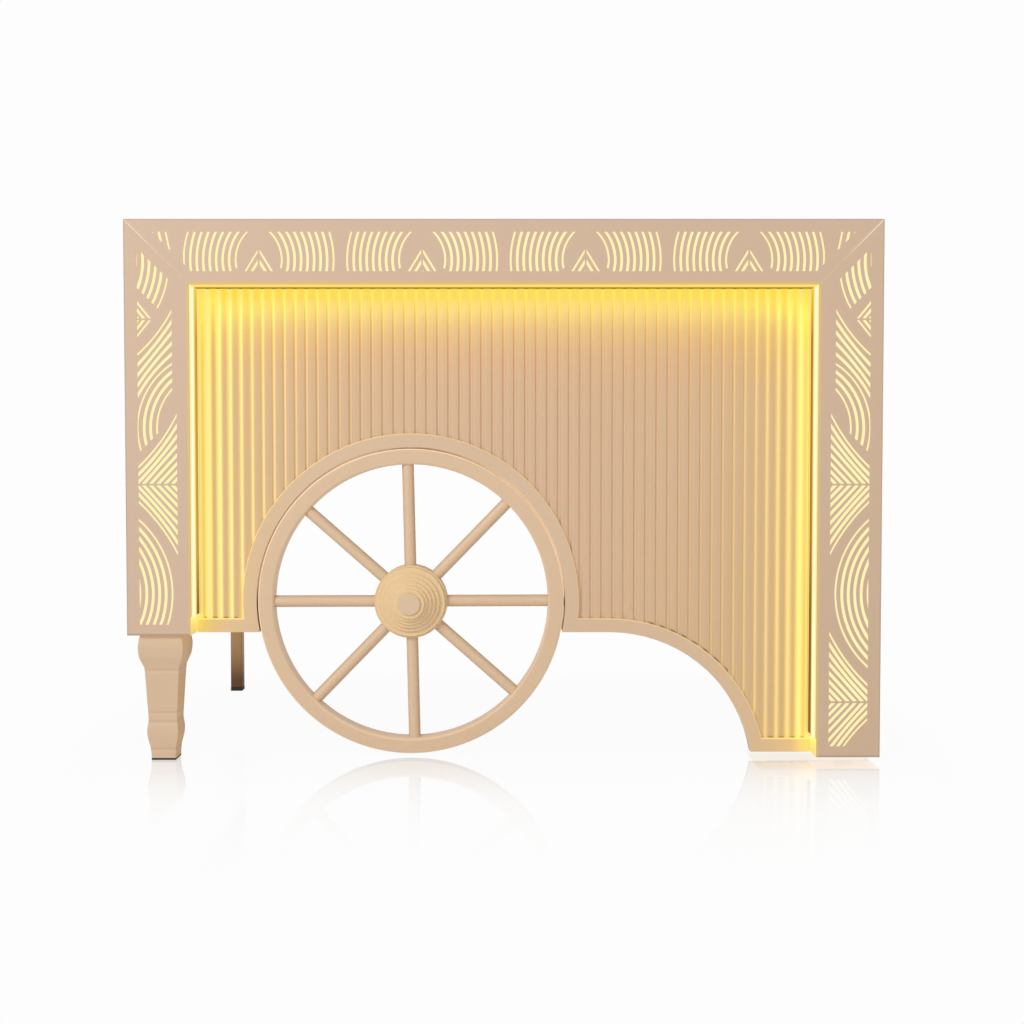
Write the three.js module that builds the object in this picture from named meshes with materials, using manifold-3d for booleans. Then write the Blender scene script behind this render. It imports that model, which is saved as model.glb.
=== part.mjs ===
// Bar counter in the shape of a cart, in millimetres: +X to the right, +Z up and the front towards -Y.
// The origin is on the floor, under the middle of the counter.
// A lit, laser-cut border frames a fluted front with a wagon wheel in its arch, a moulded leg stands under
// the left end, and a square tube frame behind carries the top, the sides and a shelf.
import * as THREE from "three";
import { mergeVertices } from "three/addons/utils/BufferGeometryUtils.js";
import Module from "manifold-3d";

const wasm = await Module();
wasm.setup();

// Overall
const WIDTH = 1500;
const DEPTH = 800;
const HEIGHT = 1080;
const FIT = 0.3; // gap between pieces that seat on each other
const OVERRUN = 6; // how far a cutter runs past the face that it leaves

// Border trays: folded sheet, mitred at the upper corners
const BORDER_WIDTH = 127.5;
const SHEET = 2;
const LEFT_BOTTOM = 256; // lower edge of the left border, of the panel and of the left side
const END_CLEARANCE = 12; // lower edge of the right end above the floor
const MITRE_GAP = 0.6;

// Slots of the border, in a strip between margins
const SLOT_WIDTH = 5.4; // along the top, and in the chevrons
const SIDE_SLOT_WIDTH = 6.2; // down the sides
const EDGE_SLOT_WIDTH = 4; // the outermost slot of each family
const SLOT_MARGIN = 25; // from the border's long edges to the strip
const SLOT_MITRE_MARGIN = 21.6;
const SLOT_WEB = 3.4; // metal left along the axis of a feather or chevron
const ARC_STEP_DEGREES = 10;
const FAN_STEP_DEGREES = 16;
const BOW_STEPS = 3; // straight stretches along a bowed slot

// The ornament, in shares of the strip's width, so that it grows with the strip. Drops are from the strip's
// outer edge at the top, shifts are from a motif's middle or past the strip's outer edge at the side, and
// steps are from one slot of a family to the next.
const STEP_SHARE = 0.165; // between concentric arcs
const TOP_PERIOD_SHARE = 4.16; // from motif to motif along the top
const FAN_SHARES = { shift: 0.406, drop: 0.716, innerRadius: 0.994, corner: 0.155, cornerShift: 0.477 };
const TOP_CHEVRON_SHARES = { drop: 0.452, spread: 0.335, step: 0.271 };
const CORNER_FAN_SHARES = { shift: 1.765, drop: 0.723, outerRadius: 2.588, band: 0.723 };
const SIDE_CHEVRON_SHARES = { drop: 2.217, reach: 0.348, spread: 0.432, step: 0.155 };
const SWEEP_SHARES = { drop: 1.992, step: 0.276, endDrop: 3.12, endStep: 0.263, bow: 0.065, inset: 0.11 };
const HOOK_SHARES = { shift: -1.938, drop: 4.986, outerRadius: 1.943 };
const WING_SHARES = { first: 0.151, step: 0.181, growth: 0.0075, reach: 0.439, reachStep: 0.191, bow: 0.075 };
const UPPER_FEATHER_SHARE = 6.43;
const LOWER_FEATHER_SHARE = 12.034;
const RIPPLE_SHARES = { shift: 1.692, drop: 9.227, outerRadius: 2.542 };
const FAN_ARCS = 9;
const CHEVRON_COUNT = 3;
const CORNER_FAN_ARCS = 6;
const CORNER_FAN_START_DEGREES = 165; // past both ends of every arc
const CORNER_FAN_END_DEGREES = 220;
const SWEEP_COUNT = 5;
const HOOK_ARCS = 4;
const HOOK_END_DEGREES = -16; // below the hook's centre
const WING_COUNT = 8;
const WING_BOW_POWER = 3;
const RIPPLE_ARCS = 6;

// Light behind the slots and on the inner sides of the border
const DIFFUSER_THICKNESS = 3;
const LIGHT_PLATE_THICKNESS = 2;
const LED_STRIP_WIDTH = 10;
const LED_STRIP_THICKNESS = 3;
const LED_STRIP_SHARES = [0.3, 0.7]; // places of the two strips across the border
const REVEAL_SETBACK = 3; // behind the border's face
const REVEAL_TRIM_GAP = 8; // from the upright strips to the trim, behind them and below
const REVEAL_THICKNESS = 2.5;
const TOP_REVEAL_DEPTH = 22; // the strip under the top is shallower than the upright ones

// Fluted panel and its trim
const PANEL_RECESS = 51; // from the border's face to the ribs
const PANEL_THICKNESS = 18;
const PANEL_GAP = 3; // shadow gap between the panel and the border
const FLUTE_PITCH = 22.2;
const FLUTE_DEPTH = 5;
const GROOVE_BOTTOM = 2.6;
const RIB_FACE = 13.6;
const RIB_CROWN = 0.9; // rise of the rib's middle over its edges
const TRIM_WIDTH = 28;
const TRIM_THICKNESS = 5;
const LEFT_STRETCH_SHARE = 0.1978; // level edge left of the arch, of the width that the arch leaves
const MIDDLE_STRETCH_SHARE = 0.1522; // from the arch to the hollow
const HOLLOW_SHARE = 0.4605; // the hollow's reach towards the right end
const OUTLINE_STEP_DEGREES = 5;

// Wheel and arch
const WHEEL_RADIUS = 308;
const WHEEL_FLOOR_GAP = 10;
const WHEEL_THICKNESS = 36;
const WHEEL_RUNNING_GAP = 5; // between the rim and the arch
const RIM_WIDTH = 30;
const RIM_CHAMFER = 3;
const RIM_FACETS = 56;
const SPOKE_COUNT = 8;
const SPOKE_LEANS = [1.3, 0.8, 0.2, 3.6]; // degrees that each opposite pair is off its even place
const SPOKE_RADIUS = 12;
const SPOKE_FACETS = 12;
const SOCKET_DEPTH = 10; // how far a spoke enters the hub and the rim
const HUB_RADIUS = 74;
const HUB_FACETS = 32;
const NOSE_HEIGHT = 41;
const NOSE_RING_SHARES = [0.94, 0.797, 0.69, 0.59, 0.492, 0.411]; // ring radii, of the hub's
const NOSE_CHAMFER = 2;
const CAP_SHARE = 0.296; // the cap's radius, of the hub's
const CAP_THICKNESS = 4;
const CAP_CHAMFER = 1;
const LINER_SHEET = 2;
const LINER_MARGIN = 5; // the liner behind the crossbar
const FLANGE_WIDTH = 10; // of the ring that closes the gap round the wheel from behind
const FLANGE_THICKNESS = 2;
const CROSSBAR_GAP = 8; // between the wheel and the crossbar
const CROSSBAR_THICKNESS = 8;
const CROSSBAR_HEIGHT = 16;
const CROSSBAR_DROP = 5; // the bar's middle below the axle, out of sight behind the spokes
const CROSSBAR_BOSS_RADIUS = 34;
const AXLE_RADIUS = 10;
const AXLE_HEAD_RADIUS = 17;
const AXLE_HEAD_THICKNESS = 6;
const AXLE_END = 4; // the axle past its nut
const BUSH_WALL = 4;
const BUSH_FLANGE_RADIUS = 20;
const WASHER_RADIUS = 19;
const WASHER_THICKNESS = 3;
const NUT_RADIUS = 17;
const NUT_THICKNESS = 9;
const NUT_SIDES = 6;
const NOSE_POCKET_RADIUS = 24;
const NOSE_POCKET_CLEARANCE = 3; // past the end of the axle
const SMALL_FACETS = 16;

// Front leg
const LEG_HALF_WIDTH = 45.8;
const LEG_DEPTH_SHARE = 0.85;
const LEG_SETBACK = 8;
const LEG_PAD_HEIGHT = 4;
const LEG_PAD_CHAMFER = 1;
const LEG_SHARES = [
  [0, 0.54], [0.08, 0.57], [0.129, 0.63], [0.187, 0.69], [0.245, 0.69], [0.293, 0.65], [0.351, 0.65],
  [0.506, 0.7], [0.7, 0.76], [0.748, 0.81], [0.806, 0.94], [0.855, 0.99], [0.913, 1], [0.971, 0.95],
  [1, 0.92],
]; // height up the leg and half width there
const LEG_STEPS = 28;
const LEG_SIDES = 4;

// Square tube frame
const TUBE = 30;
const TUBE_WALL = 2;
const LEG_INSET = 38; // from the counter's side to the tubes
const SHELF_RAIL_CLEARANCE = 37; // from the arch to the shelf rails
const END_RAIL_HEIGHT = 60;
const FOOT_HEIGHT = 10;
const FOOT_SPIGOT = 14;
const GLIDE_RADIUS = 18;
const GLIDE_THICKNESS = 7;
const GLIDE_STEM_RADIUS = 5;
const GLIDE_COLLAR_INSET = 1; // inside the tube's faces
const GLIDE_COLLAR_THICKNESS = 4;
const END_POST_BOTTOM = 40;

// Boards and side panels
const TOP_THICKNESS = 18;
const SHELF_THICKNESS = 16;

// Power supply
const DRIVER_WIDTH = 240;
const DRIVER_DEPTH = 70;
const DRIVER_HEIGHT = 36;
const DRIVER_INSET = 370; // from the counter's right side to the driver's middle
const DRIVER_SETBACK = 60; // behind the front top rail
const DRIVER_CHAMFER = 4;
const POWER_BOX_INSET = 220; // from the counter's right side to the box's middle
const POWER_BOX_WIDTH = 110;
const POWER_BOX_DEPTH = 50;
const POWER_BOX_HEIGHT = 56;
const POWER_BOX_SETBACK = 8; // from the counter's back
const INLET_WIDTH = 28;
const INLET_HEIGHT = 20;
const INLET_DEPTH = 22;
const INLET_WALL = 2;
const INLET_FLOOR = 5;
const INLET_FLANGE = 4;
const INLET_FLANGE_THICKNESS = 3;
const INLET_OFFSET = -24; // from the power box's middle
const PIN_WIDTH = 2;
const PIN_HEIGHT = 4;
const PIN_LENGTH = 9;
const PIN_SPREAD = 7;
const PIN_RAISE = 2.5; // the middle pin above the outer two
const ROCKER_WIDTH = 14;
const ROCKER_HALF_HEIGHT = 11;
const ROCKER_DEPTH = 6;
const ROCKER_TILT_DEGREES = 8; // either side of the middle
const ROCKER_RISE = 2; // face of the rocker over its pivot
const ROCKER_PLAY = 0.6;
const ROCKER_OFFSET = 26;

// Places that the sizes give
const FRONT = -DEPTH / 2;
const BACK = DEPTH / 2;
const HALF_WIDTH = WIDTH / 2;
const OPENING_HALF = HALF_WIDTH - BORDER_WIDTH;
const OPENING_TOP = HEIGHT - BORDER_WIDTH;
const PANEL_FRONT = FRONT + PANEL_RECESS;
const PANEL_BACK = PANEL_FRONT + PANEL_THICKNESS;
const PANEL_HALF = OPENING_HALF - PANEL_GAP;
const TRIM_FRONT = PANEL_FRONT - FIT - TRIM_THICKNESS;
const FRAME_FRONT = PANEL_BACK + FIT;
const FRAME_TOP = HEIGHT - TOP_THICKNESS - FIT;
const WHEEL_HEIGHT = WHEEL_RADIUS + WHEEL_FLOOR_GAP;
const WHEEL_Y = TRIM_FRONT + WHEEL_THICKNESS / 2;
const ARCH_RADIUS = WHEEL_RADIUS + WHEEL_RUNNING_GAP;
const ARCH_HALF_CHORD = Math.sqrt(ARCH_RADIUS ** 2 - (WHEEL_HEIGHT - LEFT_BOTTOM) ** 2);
const SPARE_WIDTH = 2 * (PANEL_HALF - ARCH_HALF_CHORD);
const WHEEL_X = LEFT_STRETCH_SHARE * SPARE_WIDTH + ARCH_HALF_CHORD - PANEL_HALF;
const HOLLOW_START = WHEEL_X + ARCH_HALF_CHORD + MIDDLE_STRETCH_SHARE * SPARE_WIDTH;
const HOLLOW_FALL = LEFT_BOTTOM - END_CLEARANCE;
const HOLLOW_RADIUS = ((HOLLOW_SHARE * SPARE_WIDTH) ** 2 + HOLLOW_FALL ** 2) / (2 * HOLLOW_FALL);
const CROSSBAR_FRONT = TRIM_FRONT + WHEEL_THICKNESS + CROSSBAR_GAP;
const CROSSBAR_BACK = CROSSBAR_FRONT + CROSSBAR_THICKNESS;
const POST_OUTER = HALF_WIDTH - LEG_INSET;
const POST_INNER = POST_OUTER - TUBE;
const SHELF_RAIL_BOTTOM = WHEEL_HEIGHT + ARCH_RADIUS + LINER_SHEET + SHELF_RAIL_CLEARANCE;
const SHELF_BOTTOM = SHELF_RAIL_BOTTOM + TUBE + FIT;
const REAR_TUBE_FRONT = BACK - TUBE;
const DRIVER_X = HALF_WIDTH - DRIVER_INSET;
const POWER_BOX_X = HALF_WIDTH - POWER_BOX_INSET;

const paint = (name, color, roughness, metalness = 0) =>
  new THREE.MeshStandardMaterial({ name, color, roughness, metalness });
const BEIGE = paint("beige_paint", 0xd6b898, 0.5);
const WARM_BEIGE = paint("fluted_beige", 0xdab894, 0.55);
const OPAL = paint("opal_light", 0xfff3c0, 0.4);
const BRONZE = paint("bronze_tube", 0x8c6941, 0.4, 0.3);
const RUBBER = paint("dark_foot", 0x3a2c20, 0.8);
const STEEL = paint("zinc_steel", 0x9a9a98, 0.35, 0.9);
const BLACK = paint("black_plastic", 0x1c1c1e, 0.5);

const counter = new THREE.Group();

// Solids and meshes

function solid(geometry) {
  const bare = geometry.clone();
  bare.deleteAttribute("normal");
  bare.deleteAttribute("uv");
  const merged = mergeVertices(bare);
  const corners = merged.index.array;
  const kept = [];
  for (let i = 0; i < corners.length; i += 3) {
    const [a, b, c] = corners.slice(i, i + 3);
    if (a !== b && b !== c && c !== a) kept.push(a, b, c);
  }
  const vertProperties = merged.attributes.position.array;
  return new wasm.Manifold(new wasm.Mesh({ numProp: 3, vertProperties, triVerts: new Uint32Array(kept) }));
}

function add(name, shape, material, parent = counter) {
  const made = shape.getMesh();
  const geometry = new THREE.BufferGeometry();
  geometry.setAttribute("position", new THREE.BufferAttribute(made.vertProperties, made.numProp));
  geometry.setIndex(new THREE.BufferAttribute(made.triVerts, 1));
  geometry.computeVertexNormals();
  const mesh = new THREE.Mesh(geometry, material);
  mesh.name = name;
  parent.add(mesh);
  return mesh;
}

const union = (solids) => solids.reduce((joined, next) => joined.add(next));

function box([x0, x1], [y0, y1], [z0, z1]) {
  const geometry = new THREE.BoxGeometry(x1 - x0, y1 - y0, z1 - z0);
  return solid(geometry.translate((x0 + x1) / 2, (y0 + y1) / 2, (z0 + z1) / 2));
}

// A plate whose outline lies in the XZ plane, from y0 back to y1.
function plate(outline, y0, y1) {
  const shape = new THREE.Shape(outline);
  const geometry = new THREE.ExtrudeGeometry(shape, { depth: y1 - y0, bevelEnabled: false });
  return solid(geometry.rotateX(Math.PI / 2).translate(0, y1, 0));
}

// A turned piece on the Y axis, from [radius, y] pairs.
function turned(profile, facets) {
  const points = profile.map(([radius, y]) => new THREE.Vector2(radius, y));
  return solid(new THREE.LatheGeometry(points, facets));
}

const point = (x, z) => new THREE.Vector2(x, z);
const mirrored = (outline) => outline.map((p) => point(-p.x, p.y));
const radians = (degrees) => (degrees * Math.PI) / 180;

// Points of a circle in the XZ plane between two angles, both included.
function arc(centre, radius, from, to, stepDegrees) {
  const steps = Math.max(1, Math.ceil(Math.abs(to - from) / radians(stepDegrees)));
  return Array.from({ length: steps + 1 }, (_, i) => {
    const angle = from + ((to - from) * i) / steps;
    return point(centre.x + radius * Math.cos(angle), centre.y + radius * Math.sin(angle));
  });
}

// Slots of the border

const INNER_LIMIT = OPENING_HALF + SLOT_MARGIN;
const OUTER_LIMIT = HALF_WIDTH - SLOT_MARGIN;
const LOW_LIMIT = OPENING_TOP + SLOT_MARGIN;
const TOP_LIMIT = HEIGHT - SLOT_MARGIN;
const MITRE_LIMIT = HEIGHT - HALF_WIDTH - SLOT_MITRE_MARGIN * Math.SQRT2; // z - x along the mitre margin

// The ornament's shares as lengths.
const inStrip = (share) => share * (BORDER_WIDTH - 2 * SLOT_MARGIN);
const sized = (shares) => {
  const lengths = Object.entries(shares).map(([name, share]) => [name, inStrip(share)]);
  return Object.fromEntries(lengths);
};
const ARC_STEP = inStrip(STEP_SHARE);
const TOP_PERIOD = inStrip(TOP_PERIOD_SHARE);
const FAN = sized(FAN_SHARES);
const TOP_CHEVRON = sized(TOP_CHEVRON_SHARES);
const CORNER_FAN = sized(CORNER_FAN_SHARES);
const SIDE_CHEVRON = sized(SIDE_CHEVRON_SHARES);
const SWEEP = sized(SWEEP_SHARES);
const HOOK = sized(HOOK_SHARES);
const WING = sized(WING_SHARES);
const RIPPLE = sized(RIPPLE_SHARES);

// Outline of a slot of the given width along a line of points.
function slotAlong(line, width) {
  const sides = line.map((p, i) => {
    const before = line[Math.max(i - 1, 0)];
    const after = line[Math.min(i + 1, line.length - 1)];
    const along = after.clone().sub(before).normalize();
    const across = point(-along.y, along.x).multiplyScalar(width / 2);
    return [p.clone().add(across), p.clone().sub(across)];
  });
  return [...sides.map(([left]) => left), ...sides.map(([, right]) => right).reverse()];
}

// A line of points that runs on at both ends along its end stretches.
function runOn(line) {
  const ends = [line[0].clone(), line.at(-1).clone()];
  const before = ends[0].clone().sub(line[1]).normalize();
  const after = ends[1].clone().sub(line.at(-2)).normalize();
  ends[0].addScaledVector(before, OVERRUN);
  ends[1].addScaledVector(after, OVERRUN);
  return [ends[0], ...line.slice(1, -1), ends[1]];
}

// A slot from start to end that bows sideways and runs past both ends.
function bowedSlot(start, end, bow, width) {
  const chord = end.clone().sub(start);
  const along = chord.clone().normalize();
  const across = point(along.y, -along.x);
  const steps = bow ? BOW_STEPS : 1;
  const line = Array.from({ length: steps + 1 }, (_, i) => {
    const share = i / steps;
    const swing = 4 * bow * share * (1 - share);
    return start.clone().addScaledVector(chord, share).addScaledVector(across, swing);
  });
  return slotAlong(runOn(line), width);
}

// Concentric slots with evenly stepped radii, from the outermost inwards. The span gives the first and last
// angle of the arc of a radius, and the slot runs past both so that its window cuts it.
function arcSlots(centre, outerRadius, count, span, slotWidth, stepDegrees) {
  return Array.from({ length: count }, (_, i) => {
    const width = i === 0 || i === count - 1 ? EDGE_SLOT_WIDTH : slotWidth;
    const radius = outerRadius - i * ARC_STEP;
    const [from, to] = span(radius);
    return slotAlong(runOn(arc(centre, radius, from, to, stepDegrees)), width);
  });
}

// The slots of one family as cutters through the face, each cut to the window.
function cutters(outlines, window) {
  const [near, far] = [FRONT - OVERRUN, FRONT + SHEET + OVERRUN];
  const frame = plate(window, near, far);
  return union(outlines.map((outline) => plate(outline, near + FIT, far - FIT))).intersect(frame);
}


// The two fans of one motif on the top border, open towards its middle.
function fans(middle) {
  const outerRadius = FAN.innerRadius + (FAN_ARCS - 1) * ARC_STEP;
  return [-1, 1].map((side) => {
    const at = (x, z) => point(middle + side * x, z);
    const centre = at(-FAN.shift, TOP_LIMIT - FAN.drop);
    const rise = (limit, radius) => Math.asin(Math.max(-1, Math.min(1, (limit - centre.y) / radius)));
    const span = (radius) => {
      const angles = [rise(LOW_LIMIT, radius), rise(TOP_LIMIT, radius)];
      return side > 0 ? angles : angles.map((angle) => Math.PI - angle);
    };
    const window = [
      at(0, TOP_LIMIT),
      at(0, LOW_LIMIT + FAN.corner),
      at(FAN.cornerShift, LOW_LIMIT + FAN.corner),
      at(FAN.cornerShift + FAN.corner, LOW_LIMIT),
      at(outerRadius, LOW_LIMIT),
      at(outerRadius, TOP_LIMIT),
    ];
    const slots = arcSlots(centre, outerRadius, FAN_ARCS, span, SLOT_WIDTH, FAN_STEP_DEGREES);
    return cutters(slots, window);
  });
}

// Nested chevrons: slots from an axis to a limit, split by a web along the axis.
function chevrons(tip, reach, spread, step, count) {
  const across = point(-reach.y, reach.x).normalize();
  return [-1, 1].map((side) => {
    const legs = Array.from({ length: count }, (_, i) => {
      const start = tip.clone().addScaledVector(reach.clone().normalize(), i * step);
      const slope = reach.clone().addScaledVector(across, side * spread);
      return bowedSlot(start, start.clone().add(slope), 0, i ? SLOT_WIDTH : EDGE_SLOT_WIDTH);
    });
    const web = tip.clone().addScaledVector(across, (side * SLOT_WEB) / 2).addScaledVector(reach, -1);
    const foot = tip.clone().add(reach);
    const window = [
      web,
      foot.clone().addScaledVector(across, (side * SLOT_WEB) / 2),
      foot.clone().addScaledVector(across, side * spread * 2),
      web.clone().addScaledVector(across, side * spread * 2),
    ];
    return cutters(legs, window);
  });
}

function topChevrons(middle) {
  const tip = point(middle, TOP_LIMIT - TOP_CHEVRON.drop);
  return chevrons(tip, point(0, LOW_LIMIT - tip.y), TOP_CHEVRON.spread, TOP_CHEVRON.step, CHEVRON_COUNT);
}

function topSlots() {
  const motifs = Math.ceil(WIDTH / TOP_PERIOD / 2);
  const middles = Array.from({ length: 2 * motifs }, (_, i) => (i - motifs + 1 / 2) * TOP_PERIOD);
  const mitre = MITRE_LIMIT + 2 * SLOT_MITRE_MARGIN * Math.SQRT2;
  const band = [point(LOW_LIMIT - mitre, LOW_LIMIT), point(TOP_LIMIT - mitre, TOP_LIMIT)];
  const outline = [...band, ...mirrored(band).reverse()];
  const window = plate(outline, FRONT - 2 * OVERRUN, FRONT + SHEET + 2 * OVERRUN);
  const cut = middles.flatMap((middle) => {
    const shown = Math.abs(middle) < OPENING_HALF ? topChevrons(middle) : [];
    return [...fans(middle), ...shown];
  });
  return union(cut).intersect(window);
}

function cornerFan() {
  const centre = point(OUTER_LIMIT + CORNER_FAN.shift, TOP_LIMIT - CORNER_FAN.drop);
  const low = MITRE_LIMIT - CORNER_FAN.band * Math.SQRT2;
  const window = [
    point(OPENING_HALF, OPENING_HALF + MITRE_LIMIT),
    point(OPENING_HALF, OPENING_HALF + low),
    point(OUTER_LIMIT, OUTER_LIMIT + low),
    point(OUTER_LIMIT, OUTER_LIMIT + MITRE_LIMIT),
  ];
  const span = () => [CORNER_FAN_START_DEGREES, CORNER_FAN_END_DEGREES].map(radians);
  const { outerRadius } = CORNER_FAN;
  const slots = arcSlots(centre, outerRadius, CORNER_FAN_ARCS, span, SIDE_SLOT_WIDTH, ARC_STEP_DEGREES);
  return cutters(slots, window);
}

function sideChevrons() {
  const { drop, reach, spread, step } = SIDE_CHEVRON;
  return chevrons(point(OUTER_LIMIT - reach, TOP_LIMIT - drop), point(reach, 0), spread, step, CHEVRON_COUNT);
}

// Five slots that lean across the strip and ease from one bow to the other, and the hooks that follow them.
function sweep() {
  const startX = INNER_LIMIT + SWEEP.inset;
  const starts = TOP_LIMIT - SWEEP.drop;
  const ends = TOP_LIMIT - SWEEP.endDrop;
  const leaning = Array.from({ length: SWEEP_COUNT }, (_, i) => {
    const bow = SWEEP.bow * (1 - (2 * i) / (SWEEP_COUNT - 1));
    const start = point(startX, starts - i * SWEEP.step);
    const end = point(OUTER_LIMIT, ends - i * SWEEP.endStep);
    return bowedSlot(start, end, bow, i ? SIDE_SLOT_WIDTH : EDGE_SLOT_WIDTH);
  });
  const centre = point(OUTER_LIMIT + HOOK.shift, TOP_LIMIT - HOOK.drop);
  const span = (radius) => [radians(HOOK_END_DEGREES), Math.acos(Math.min(1, (startX - centre.x) / radius))];
  const hooks = arcSlots(centre, HOOK.outerRadius, HOOK_ARCS, span, SIDE_SLOT_WIDTH, ARC_STEP_DEGREES);
  const innerX = centre.x + HOOK.outerRadius - HOOK_ARCS * ARC_STEP;
  const window = [
    point(startX, starts + OVERRUN),
    point(startX, centre.y),
    point(innerX, centre.y),
    point(OUTER_LIMIT, centre.y - (OUTER_LIMIT - innerX)),
    point(OUTER_LIMIT, ends + SWEEP.endStep),
  ];
  return cutters([...leaning, ...hooks], window);
}

// One wing of a feather: slots that lean away from the axis, the farther the more bowed.
function wing(axis, side) {
  const slots = Array.from({ length: WING_COUNT }, (_, i) => {
    const startZ = axis + side * (WING.first + i * WING.step + i * i * WING.growth);
    const endZ = axis + side * (WING.reach - (WING_COUNT - 1 - i) * WING.reachStep);
    const bow = i > WING_COUNT / 2 ? WING.bow * (i / (WING_COUNT - 1)) ** WING_BOW_POWER : 0;
    const width = i === WING_COUNT - 1 ? EDGE_SLOT_WIDTH : SIDE_SLOT_WIDTH;
    return bowedSlot(point(INNER_LIMIT, startZ), point(OUTER_LIMIT, endZ), side * bow, width);
  });
  const far = axis + side * WING_COUNT * 2 * WING.step;
  const near = axis + (side * SLOT_WEB) / 2;
  const window = [
    point(INNER_LIMIT, near),
    point(OUTER_LIMIT, near),
    point(OUTER_LIMIT, far),
    point(INNER_LIMIT, far),
  ];
  return cutters(slots, window);
}

function ripple() {
  const centre = point(OUTER_LIMIT + RIPPLE.shift, TOP_LIMIT - RIPPLE.drop);
  const span = (radius) => {
    const half = Math.acos(Math.min(1, RIPPLE.shift / radius));
    return [Math.PI - half, Math.PI + half];
  };
  const { outerRadius } = RIPPLE;
  const slots = arcSlots(centre, outerRadius, RIPPLE_ARCS, span, SIDE_SLOT_WIDTH, ARC_STEP_DEGREES);
  const window = [
    point(INNER_LIMIT, centre.y - outerRadius),
    point(OUTER_LIMIT, centre.y - outerRadius),
    point(OUTER_LIMIT, centre.y + outerRadius),
    point(INNER_LIMIT, centre.y + outerRadius),
  ];
  return cutters(slots, window);
}

// The slots of a side border, cut off at its lower margin. The left border is the right one mirrored.
function sideSlots(bottom, side) {
  const axes = [UPPER_FEATHER_SHARE, LOWER_FEATHER_SHARE].map((share) => TOP_LIMIT - inStrip(share));
  const feathers = axes.flatMap((axis) => [wing(axis, 1), wing(axis, -1)]);
  const all = union([cornerFan(), ...sideChevrons(), sweep(), ...feathers, ripple()]);
  const reach = [FRONT - 2 * OVERRUN, FRONT + SHEET + 2 * OVERRUN];
  const kept = all.intersect(box([OPENING_HALF, HALF_WIDTH], reach, [bottom + SLOT_MITRE_MARGIN, HEIGHT]));
  return side > 0 ? kept : kept.mirror([1, 0, 0]);
}

// Border trays

// Outline of the top border, drawn in by a wall at its long edges and held back from the mitres.
function topOutline(wall, mitre) {
  const [low, high] = [OPENING_TOP + wall, HEIGHT - wall];
  const back = mitre * Math.SQRT2;
  const right = [
    point(low - HEIGHT + HALF_WIDTH - back, low),
    point(high - HEIGHT + HALF_WIDTH - back, high),
  ];
  return [...right, ...mirrored(right).reverse()];
}

// Outline of the right border, in the same way.
function sideOutline(bottom, wall, mitre) {
  const [inner, outer] = [OPENING_HALF + wall, HALF_WIDTH - wall];
  const drop = HEIGHT - HALF_WIDTH - mitre * Math.SQRT2;
  return [
    point(inner, bottom + wall),
    point(outer, bottom + wall),
    point(outer, outer + drop),
    point(inner, inner + drop),
  ];
}

function tray(outline, hollow, slots) {
  const inside = plate(hollow, FRONT + SHEET, PANEL_BACK + OVERRUN);
  return plate(outline, FRONT, PANEL_BACK).subtract(inside).subtract(slots);
}

const HALF_MITRE = MITRE_GAP / 2;
const sideBottoms = { left: LEFT_BOTTOM, right: END_CLEARANCE };
const facing = (name, outline) => (name === "left" ? mirrored(outline) : outline);

function addBorders() {
  const top = tray(topOutline(0, HALF_MITRE), topOutline(SHEET, -OVERRUN), topSlots());
  add("border_top", top, BEIGE);
  for (const [name, bottom] of Object.entries(sideBottoms)) {
    const outer = facing(name, sideOutline(bottom, 0, HALF_MITRE));
    const hollow = facing(name, sideOutline(bottom, SHEET, -OVERRUN));
    add(`border_${name}`, tray(outer, hollow, sideSlots(bottom, name === "left" ? -1 : 1)), BEIGE);
  }
}

// Opal sheets behind the slots, and the plates with light strips that close the trays.
function addBorderLights() {
  const wall = SHEET + FIT;
  const opalFront = FRONT + SHEET + FIT;
  const plateFront = PANEL_BACK - LIGHT_PLATE_THICKNESS;
  const stripFront = plateFront - LED_STRIP_THICKNESS;
  const outlines = {
    top: topOutline(wall, FIT),
    left: mirrored(sideOutline(LEFT_BOTTOM, wall, FIT)),
    right: sideOutline(END_CLEARANCE, wall, FIT),
  };
  const strips = LED_STRIP_SHARES.map((share) => {
    const across = share * BORDER_WIDTH;
    const low = OPENING_TOP + across - LED_STRIP_WIDTH / 2;
    const inner = OPENING_HALF + across - LED_STRIP_WIDTH / 2;
    const depth = [stripFront, plateFront + FIT];
    const upTo = OPENING_TOP;
    const side = (bottom) => box([inner, inner + LED_STRIP_WIDTH], depth, [bottom + across, upTo]);
    return {
      top: box([-OPENING_HALF, OPENING_HALF], depth, [low, low + LED_STRIP_WIDTH]),
      left: side(LEFT_BOTTOM).mirror([1, 0, 0]),
      right: side(END_CLEARANCE),
    };
  });
  for (const [name, outline] of Object.entries(outlines)) {
    add(`diffuser_${name}`, plate(outline, opalFront, opalFront + DIFFUSER_THICKNESS), OPAL);
    const board = plate(outline, plateFront, PANEL_BACK);
    add(`light_plate_${name}`, union([board, ...strips.map((strip) => strip[name])]), STEEL);
  }
}

// Lit strips on the inner returns of the border.
function addRevealLights() {
  const near = FRONT + REVEAL_SETBACK;
  const depth = [near, TRIM_FRONT - REVEAL_TRIM_GAP];
  const topDepth = [near, near + TOP_REVEAL_DEPTH];
  const outer = OPENING_HALF - FIT;
  const top = OPENING_TOP - FIT;
  const overTrim = TRIM_WIDTH + REVEAL_TRIM_GAP;
  const upright = (bottom) => box([outer - REVEAL_THICKNESS, outer], depth, [bottom + overTrim, top]);
  const inner = outer - REVEAL_THICKNESS - FIT;
  add("reveal_light_top", box([-inner, inner], topDepth, [top - REVEAL_THICKNESS, top]), OPAL);
  add("reveal_light_left", upright(LEFT_BOTTOM).mirror([1, 0, 0]), OPAL);
  add("reveal_light_right", upright(END_CLEARANCE), OPAL);
}

// Fluted panel

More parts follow.
